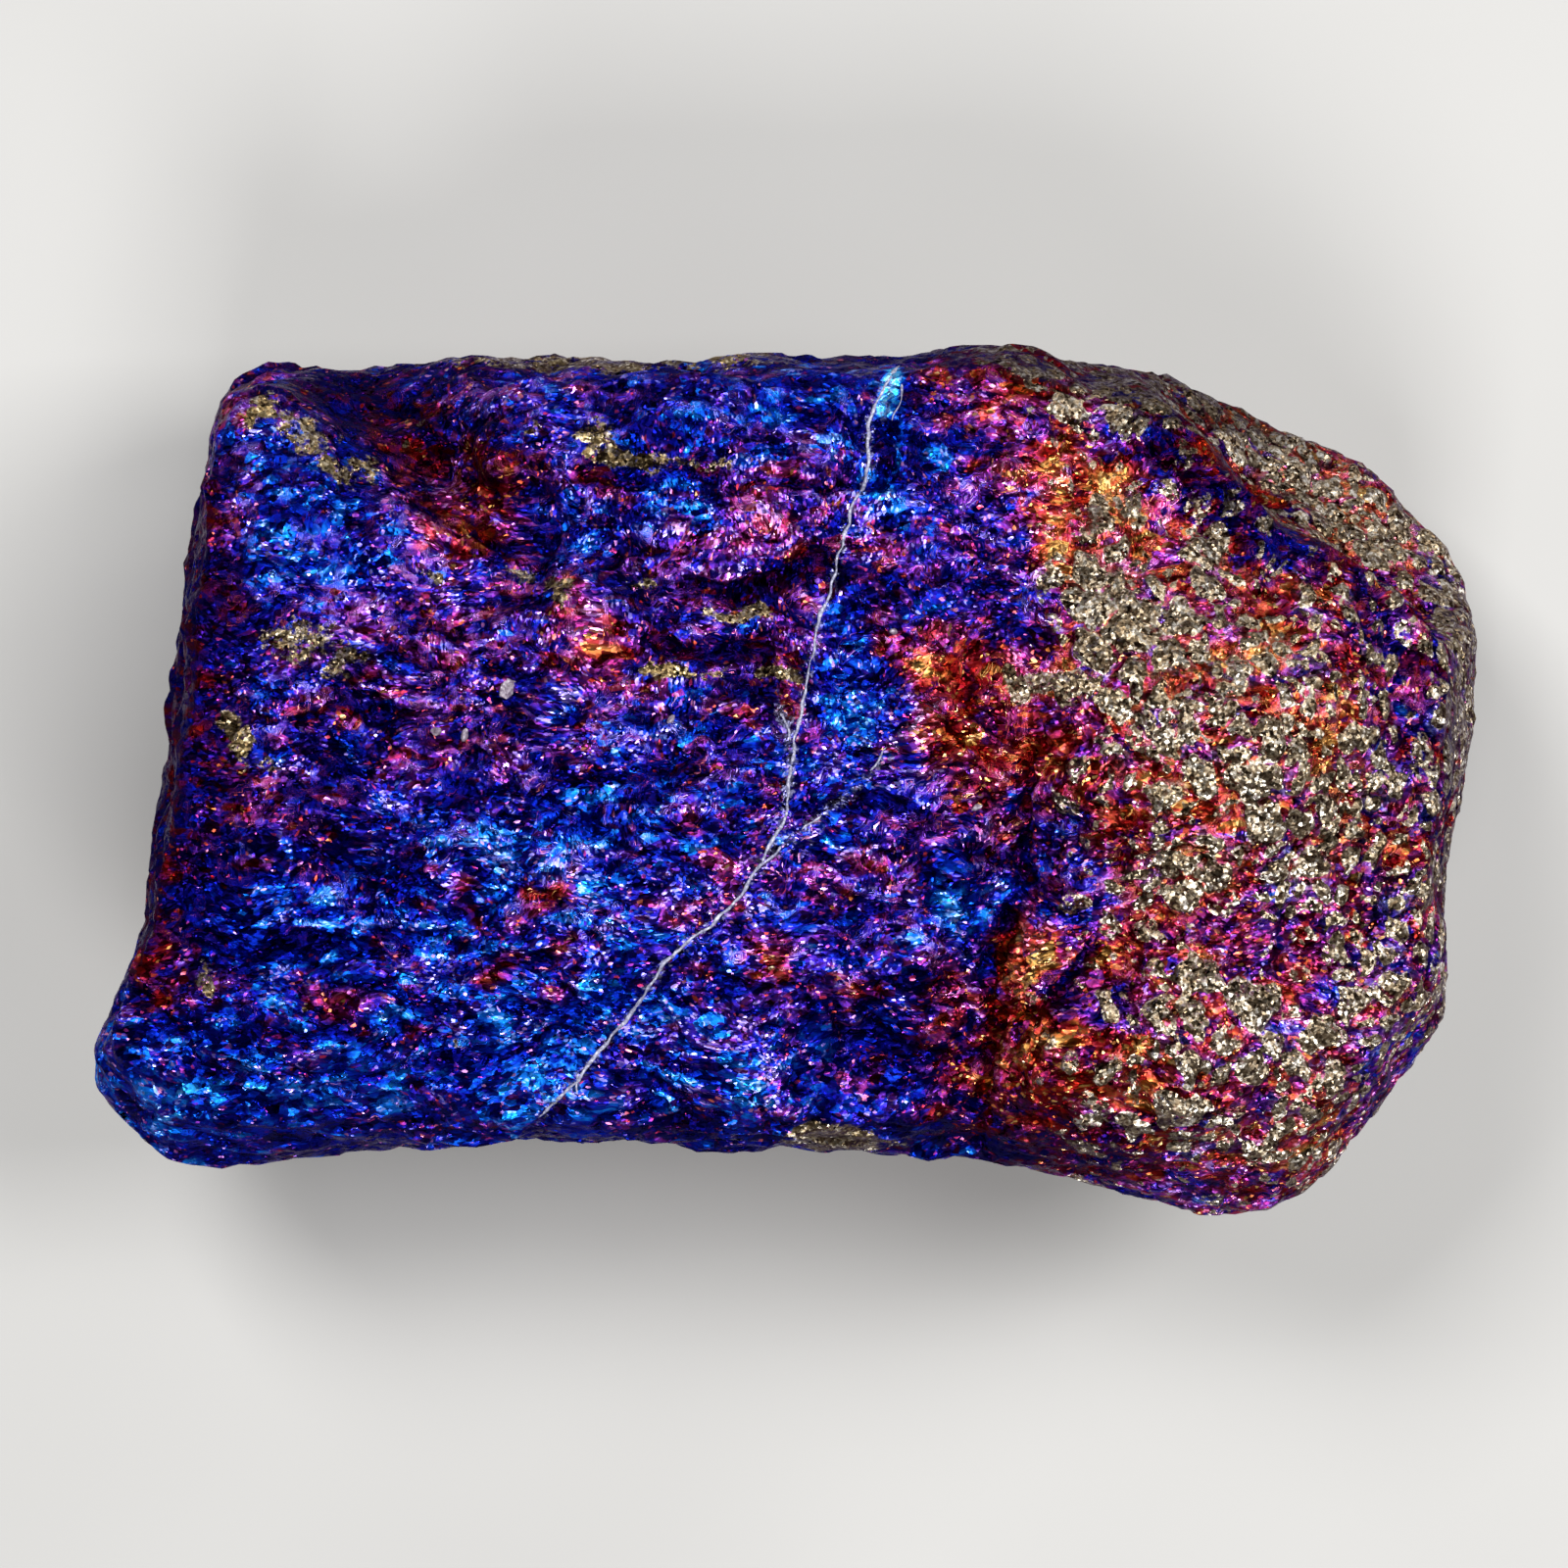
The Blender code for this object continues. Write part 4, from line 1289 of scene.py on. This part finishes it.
@dataclass(frozen=True)
class FloorFinish:
    """Plain pale matt board."""

    name: str = "pale_board"
    cloud: float = 40.0
    colours: Stops = ((0.3, (150, 149, 147)), (0.7, (155, 154, 152)))
    roughness: float = 0.85

    def build(self) -> bpy.types.Material:
        """Makes the finish.

        Returns:
            The material.
        """
        bench = NodeBench(self.name)
        tone = bench.clouds(bench.place(), self.cloud, 2.0, 0.55)
        return bench.dressed({"Base Color": bench.ramp(tone, self.colours), "Roughness": self.roughness})


@dataclass
class OreLump:
    """The ore lump with its fine relief and its tarnish."""

    node: str = "ore"
    body: str = "root"
    slot: str = "tarnished_ore"
    name: str = "ore_lump"
    voxel: float = 0.26
    overhang: float = 0.2
    sole_rise: float = -0.75
    sole_kept: float = 0.06
    sides_rise: float = 0.12
    sides_kept: float = 0.42
    chart_rounds: int = 24
    top_chart_rise: float = 0.25
    sole_chart_rise: float = -0.7
    vein: VeinLines = field(default_factory=VeinLines)
    piece: bpy.types.Object = field(init=False)

    def build(self) -> bpy.types.Object:
        """Makes the dressed lump.

        Returns:
            Its object.
        """
        self.piece = self.copied()
        self.remeshed()
        self.charted()
        self.carved()
        self.thinned()
        self.painted()
        self.unwrapped()
        self.piece.data.materials.clear()
        self.piece.data.materials.append(TarnishFinish().build())
        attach(self.piece, self.body)
        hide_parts(self.node)
        return self.piece

    def copied(self) -> bpy.types.Object:
        """Copies the plain solid and merges its loose triangles.

        Returns:
            The copy.
        """
        piece = added(self.name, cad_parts[self.node].data.copy())
        only(piece)
        bpy.ops.object.mode_set(mode="EDIT")
        bpy.ops.mesh.select_all(action="SELECT")
        bpy.ops.mesh.remove_doubles(threshold=1e-6)
        bpy.ops.object.mode_set(mode="OBJECT")
        return piece

    def remeshed(self) -> None:
        """Gives the lump an even mesh, fine enough for its relief."""
        only(self.piece)
        even = self.piece.modifiers.new("even", "REMESH")
        even.mode = "VOXEL"
        even.voxel_size = self.voxel * MM
        bpy.ops.object.modifier_apply(modifier=even.name)
        soft = self.piece.modifiers.new("soft", "SMOOTH")
        soft.factor = 0.5
        soft.iterations = 4
        bpy.ops.object.modifier_apply(modifier=soft.name)
        bpy.ops.object.shade_smooth()

    def kept(self, fields: dict[str, np.ndarray]) -> None:
        """Writes fields on the mesh.

        Args:
            fields: One value or arrow for each point, by the field's name.
        """
        for name, values in fields.items():
            kind, part = ("FLOAT", "value") if values.ndim == 1 else ("FLOAT_VECTOR", "vector")
            layers = self.piece.data.attributes
            layer = layers.get(name) or layers.new(name, kind, "POINT")
            layer.data.foreach_set(part, values.astype(np.float32).ravel())

    def read(self, name: str) -> np.ndarray:
        """Reads a field of the mesh, one value for each point."""
        return pulled(self.piece.data.attributes[name].data, "value").astype(float)

    def charted(self) -> None:
        """Keeps the direction that each point faces in the form without its fine relief."""
        mesh = self.piece.data
        count = len(mesh.vertices)
        normals = Surface.of(self.piece).normals
        first, second = pulled(mesh.edges, "vertices", 2, np.int32).T
        for _ in range(self.chart_rounds):
            total = normals.copy()
            for axis in range(3):
                total[:, axis] += np.bincount(first, normals[second, axis], count)
                total[:, axis] += np.bincount(second, normals[first, axis], count)
            normals = total / np.maximum(np.linalg.norm(total, axis=1)[:, None], 1e-9)
        self.kept({"smooth": normals})

    def carved(self) -> None:
        """Moves every point by the fine relief, without leaving the solid's own box."""
        surface = Surface.of(self.piece)
        fields = Relief(surface).fields()
        self.kept(fields)
        low, high = (np.array(corner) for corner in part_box(self.node))
        moved = (surface.points + surface.normals * fields["relief"][:, None]) * MM
        moved = np.clip(moved, low - self.overhang * MM, high + self.overhang * MM)
        moved[:, 2] = np.maximum(moved[:, 2], 0.0)
        self.piece.data.vertices.foreach_set("co", moved.astype(np.float32).ravel())
        self.piece.data.update()

    def thinned(self) -> None:
        """Thins out the mesh of the sole, which faces down, and then of the sides."""
        only(self.piece)
        for low, high, kept in ((-math.inf, self.sole_rise, self.sole_kept),
                                (self.sole_rise, self.sides_rise, self.sides_kept)):
            faces = self.piece.data.polygons
            rise = pulled(faces, "normal", 3)[:, 2]
            faces.foreach_set("select", (rise > low) & (rise <= high))
            bpy.ops.object.mode_set(mode="EDIT")
            bpy.ops.mesh.select_mode(type="FACE")
            bpy.ops.mesh.decimate(ratio=kept)
            bpy.ops.object.mode_set(mode="OBJECT")

    def painted(self) -> None:
        """Writes the fields that the finish reads."""
        surface = Surface.of(self.piece)
        relief = [self.read(name) for name in ("relief", "opening", "grain_edge", "grain_lot")]
        self.kept(TarnishMap(surface).fields(*relief))
        self.kept({"dust": self.vein.dust(surface.x, surface.y) * surface.up})

    def unwrapped(self) -> None:
        """Lays the surface out flat in six charts, the upper face largest."""
        mesh = self.piece.data
        corners = pulled(mesh.loops, "vertex_index", kind=np.int32)
        starts = pulled(mesh.polygons, "loop_start", kind=np.int32)
        sizes = pulled(mesh.polygons, "loop_total", kind=np.int32)
        smooth = pulled(mesh.attributes["smooth"].data, "vector", 3)[corners[starts]]
        x, y, z = smooth.T
        number = np.select(
            [z > self.top_chart_rise, z < self.sole_chart_rise, np.abs(x) > np.abs(y)],
            [0, 1, np.where(x > 0, 2, 3)], np.where(y > 0, 4, 5),
        )
        number = np.repeat(number, sizes)
        x, y, z = Surface.of(self.piece).points[corners].T
        flat = {Chart.TOP: (x, y), Chart.SOLE: (x, -y), Chart.RIGHT: (y, z), Chart.LEFT: (-y, z),
                Chart.BACK: (-x, z), Chart.FRONT: (x, z)}
        uv = np.zeros((len(corners), 2), np.float32)
        for own, (chart, sides) in enumerate(flat.items()):
            inside = number == own
            for column, values in enumerate(sides):
                start, room = chart.value[column], chart.value[column + 2]
                low, high = values[inside].min(), values[inside].max()
                uv[inside, column] = start + room * (values[inside] - low) / (high - low)
        mesh.uv_layers.new(name="OFBake").data.foreach_set("uv", uv.ravel())


@dataclass
class Inlay(ABC):
    """Pale mineral that lies half sunk in the upper face."""

    lump: bpy.types.Object
    name: str
    finish: MineralFinish
    smooth: bool
    body: str = "root"
    slot: str = "tarnished_ore"
    tree: BVHTree = field(init=False)

    def __post_init__(self) -> None:
        """Readies the lump's surface to be found from above."""
        mesh = bmesh.new()
        mesh.from_mesh(self.lump.data)
        self.tree = BVHTree.FromBMesh(mesh)
        mesh.free()

    def under(self, x: float, y: float) -> Vector | None:
        """The place on the ore under a point of the view from above, in metres."""
        return self.tree.ray_cast(Vector((x, y, ABOVE)) * MM, -UP)[0]

    @abstractmethod
    def parts(self) -> list[bpy.types.Object]:
        """The separate bits of mineral."""

    def build(self) -> bpy.types.Object:
        """Makes the bits, joins them and dresses them.

        Returns:
            Their object.
        """
        parts = self.parts()
        only(*parts[1:], parts[0])
        bpy.ops.object.join()
        if self.smooth:
            bpy.ops.object.shade_smooth()
        piece = parts[0]
        piece.name = piece.data.name = self.name
        piece.data.materials.append(self.finish.build())
        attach(piece, self.body)
        return piece


@dataclass
class PaleVein(Inlay):
    """The thin grey-white vein that crosses the upper face, and its faint branches."""

    name: str = "pale_vein"
    finish: MineralFinish = VEIN_STONE
    smooth: bool = True
    lines: VeinLines = field(default_factory=VeinLines)
    step: float = 0.14
    corners: int = 6
    half_height: float = 0.08
    tip: float = 0.3
    wander_x: Place = (0.14, 0.09)
    wander_y: float = 0.10

    def laid(self, line: tuple[Place, ...]) -> list[Vector]:
        """Points of a line laid on the ore, which wander a little.

        Args:
            line: The line seen from above.

        Returns:
            Places in metres.
        """
        points = [Vector((x, y, 0.0)) for x, y in line]
        found = []
        for a, b in zip(points, points[1:]):
            count = max(1, round((b - a).length / self.step))
            for i in range(count):
                place = a.lerp(b, i / count)
                broad, narrow = noise.noise(place * 1.3), noise.noise(place * 3.6)
                place.x += self.wander_x[0] * broad + self.wander_x[1] * narrow
                place.y += self.wander_y * noise.noise(place * 1.9 + Vector((5.0, 0.0, 0.0)))
                found.append(self.under(place.x, place.y))
        found = [place for place in found if place is not None]
        last = len(found) - 1
        return [(found[max(i - 1, 0)] + found[i] + found[min(i + 1, last)]) / 3.0
                for i in range(last + 1)]

    def rod(self, strand: Strand, name: str) -> bpy.types.Object:
        """One strand, as a flattened rod that is half sunk in the ore.

        Args:
            strand: The strand.
            name: The name of its object.

        Returns:
            The rod's object.
        """
        places = self.laid(strand.line)
        last = len(places) - 1
        mesh = bmesh.new()
        rings = []
        for i, place in enumerate(places):
            along = (places[min(i + 1, last)] - places[max(i - 1, 0)]).normalized()
            across = along.cross(UP).normalized()
            above = across.cross(along)
            uneven = 1.0 + 0.6 * noise.noise(place * 700.0) + 0.7 * noise.noise(place * 2600.0)
            wide = strand.half_width * MM * uneven * (self.tip if i in (0, last) else 1.0)
            turns = [2.0 * math.pi * k / self.corners for k in range(self.corners)]
            high = self.half_height * MM
            rings.append([mesh.verts.new(place + across * math.cos(turn) * wide
                                         + above * math.sin(turn) * high) for turn in turns])
        for first, second in zip(rings, rings[1:]):
            for k in range(self.corners):
                n = (k + 1) % self.corners
                mesh.faces.new((first[k], first[n], second[n], second[k]))
        mesh.faces.new(reversed(rings[0]))
        mesh.faces.new(rings[-1])
        bmesh.ops.recalc_face_normals(mesh, faces=mesh.faces)
        data = bpy.data.meshes.new(name)
        mesh.to_mesh(data)
        mesh.free()
        return added(name, data)

    def parts(self) -> list[bpy.types.Object]:
        """The main strand and the short ones beside it."""
        strands = (self.lines.main, *self.lines.side)
        return [self.rod(strand, f"strand_{number}") for number, strand in enumerate(strands)]


@dataclass(frozen=True)
class CrystalSpot:
    """One pale crystal in the ore, seen from above."""

    x: float
    y: float
    long: float
    wide: float
    turn: float


@dataclass
class PaleCrystals(Inlay):
    """The few pale crystals that sit in the layered part."""

    name: str = "pale_crystals"
    finish: MineralFinish = PINK_CRYSTAL
    smooth: bool = False
    thick: float = 0.5
    sunk: float = 0.06
    uneven: float = 0.32
    spots: tuple[CrystalSpot, ...] = (
        CrystalSpot(-12.25, 3.95, 1.00, 0.64, 55.0), CrystalSpot(-15.4, 2.1, 0.55, 0.42, 10.0),
        CrystalSpot(-14.2, 1.95, 0.62, 0.36, 80.0), CrystalSpot(-5.2, 2.6, 0.50, 0.30, 60.0),
        CrystalSpot(8.0, -1.2, 0.55, 0.30, 15.0), CrystalSpot(4.4, 6.4, 0.40, 0.30, -20.0),
    )

    def chip(self, number: int, spot: CrystalSpot) -> bpy.types.Object:
        """Makes one crystal from a ball, knocked out of round and half sunk in the ore.

        Args:
            number: The crystal's number.
            spot: Its place and size.

        Returns:
            Its object.
        """
        bpy.ops.object.select_all(action="DESELECT")
        bpy.ops.mesh.primitive_ico_sphere_add(subdivisions=2, radius=0.5 * MM, location=(0.0, 0.0, 0.0))
        chip = bpy.context.active_object
        for vertex in chip.data.vertices:
            bend = noise.noise(vertex.co * 2600.0 + Vector((7.0 * number, 0.0, 0.0)))
            vertex.co *= 1.0 + self.uneven * bend
        chip.scale = (spot.long, spot.wide, self.thick)
        chip.rotation_euler = (0.0, 0.0, math.radians(spot.turn))
        chip.location = self.under(spot.x, spot.y) - UP * self.sunk * MM
        bpy.ops.object.transform_apply(location=True, rotation=True, scale=True)
        return chip

    def parts(self) -> list[bpy.types.Object]:
        """Every crystal."""
        return [self.chip(number, spot) for number, spot in enumerate(self.spots)]


@dataclass(frozen=True)
class Softbox:
    """One soft square light: its place and size in metres and its power in watts."""

    name: str
    place: Triple
    size: float
    power: float

    def hang(self, target: Vector) -> None:
        """Hangs the light so that it faces a target.

        Args:
            target: What it faces.
        """
        data = bpy.data.lights.new(self.name, "AREA")
        data.size = self.size
        data.energy = self.power
        light = added(self.name, data)
        light.location = self.place
        light.rotation_euler = (target - Vector(self.place)).to_track_quat("-Z", "Y").to_euler()


@dataclass
class Studio:
    """The floor, the soft lights and the camera that looks straight down."""

    floor_size: float = 3.0
    face_height: float = 22.0
    distance: float = 290.0
    view_width: float = 68.376
    view_middle: Place = (-0.33, -0.195)
    sensor: float = 36.0
    middle_height: float = 12.0
    air_colour: Tint = (0.62, 0.63, 0.66, 1.0)
    air_strength: float = 0.20
    softboxes: tuple[Softbox, ...] = (
        Softbox("key", (-0.17, 0.20, 0.42), 0.17, 2.6),
        Softbox("fill", (0.24, 0.06, 0.38), 0.17, 1.8),
        Softbox("front", (0.02, -0.27, 0.36), 0.16, 1.7),
        Softbox("rim", (0.36, 0.26, 0.16), 0.14, 0.8),
    )

    def build(self) -> None:
        """Sets up the studio."""
        self.floor()
        for softbox in self.softboxes:
            softbox.hang(Vector((0.0, 0.0, self.middle_height * MM)))
        self.air()
        self.camera()
        bpy.context.scene.view_settings.view_transform = "Standard"

    def floor(self) -> None:
        """Lays the floor."""
        bpy.ops.object.select_all(action="DESELECT")
        bpy.ops.mesh.primitive_plane_add(size=self.floor_size, location=(0.0, 0.0, 0.0))
        floor = bpy.context.active_object
        floor.name = "studio_floor"
        floor.data.materials.append(FloorFinish().build())

    def air(self) -> None:
        """Surrounds the studio with dim grey."""
        world = bpy.data.worlds.new("studio_air")
        world.use_nodes = True
        inputs = world.node_tree.nodes["Background"].inputs
        inputs["Color"].default_value = self.air_colour
        inputs["Strength"].default_value = self.air_strength
        bpy.context.scene.world = world

    def camera(self) -> None:
        """Places the camera straight above the ore."""
        data = bpy.data.cameras.new("camera")
        data.sensor_width = self.sensor
        data.lens = self.sensor * self.distance / self.view_width
        data.clip_start = 0.01
        camera = added("camera", data)
        camera.location = Vector((*self.view_middle, self.face_height + self.distance)) * MM
        bpy.context.scene.camera = camera


def write_size() -> None:
    """Updates the view layer."""
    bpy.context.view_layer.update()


def main() -> None:
    """Builds the lump, the vein, the crystals and the studio in order."""
    logging.basicConfig(level=logging.INFO, format="%(name)s: %(message)s")
    lump = OreLump().build()
    LOG.info("ore lump: %d faces", len(lump.data.polygons))
    vein = PaleVein(lump).build()
    LOG.info("pale vein: %d faces", len(vein.data.polygons))
    crystals = PaleCrystals(lump).build()
    LOG.info("pale crystals: %d faces", len(crystals.data.polygons))
    Studio().build()
    LOG.info("studio set")
    write_size()


if __name__ == "__main__":
    main()
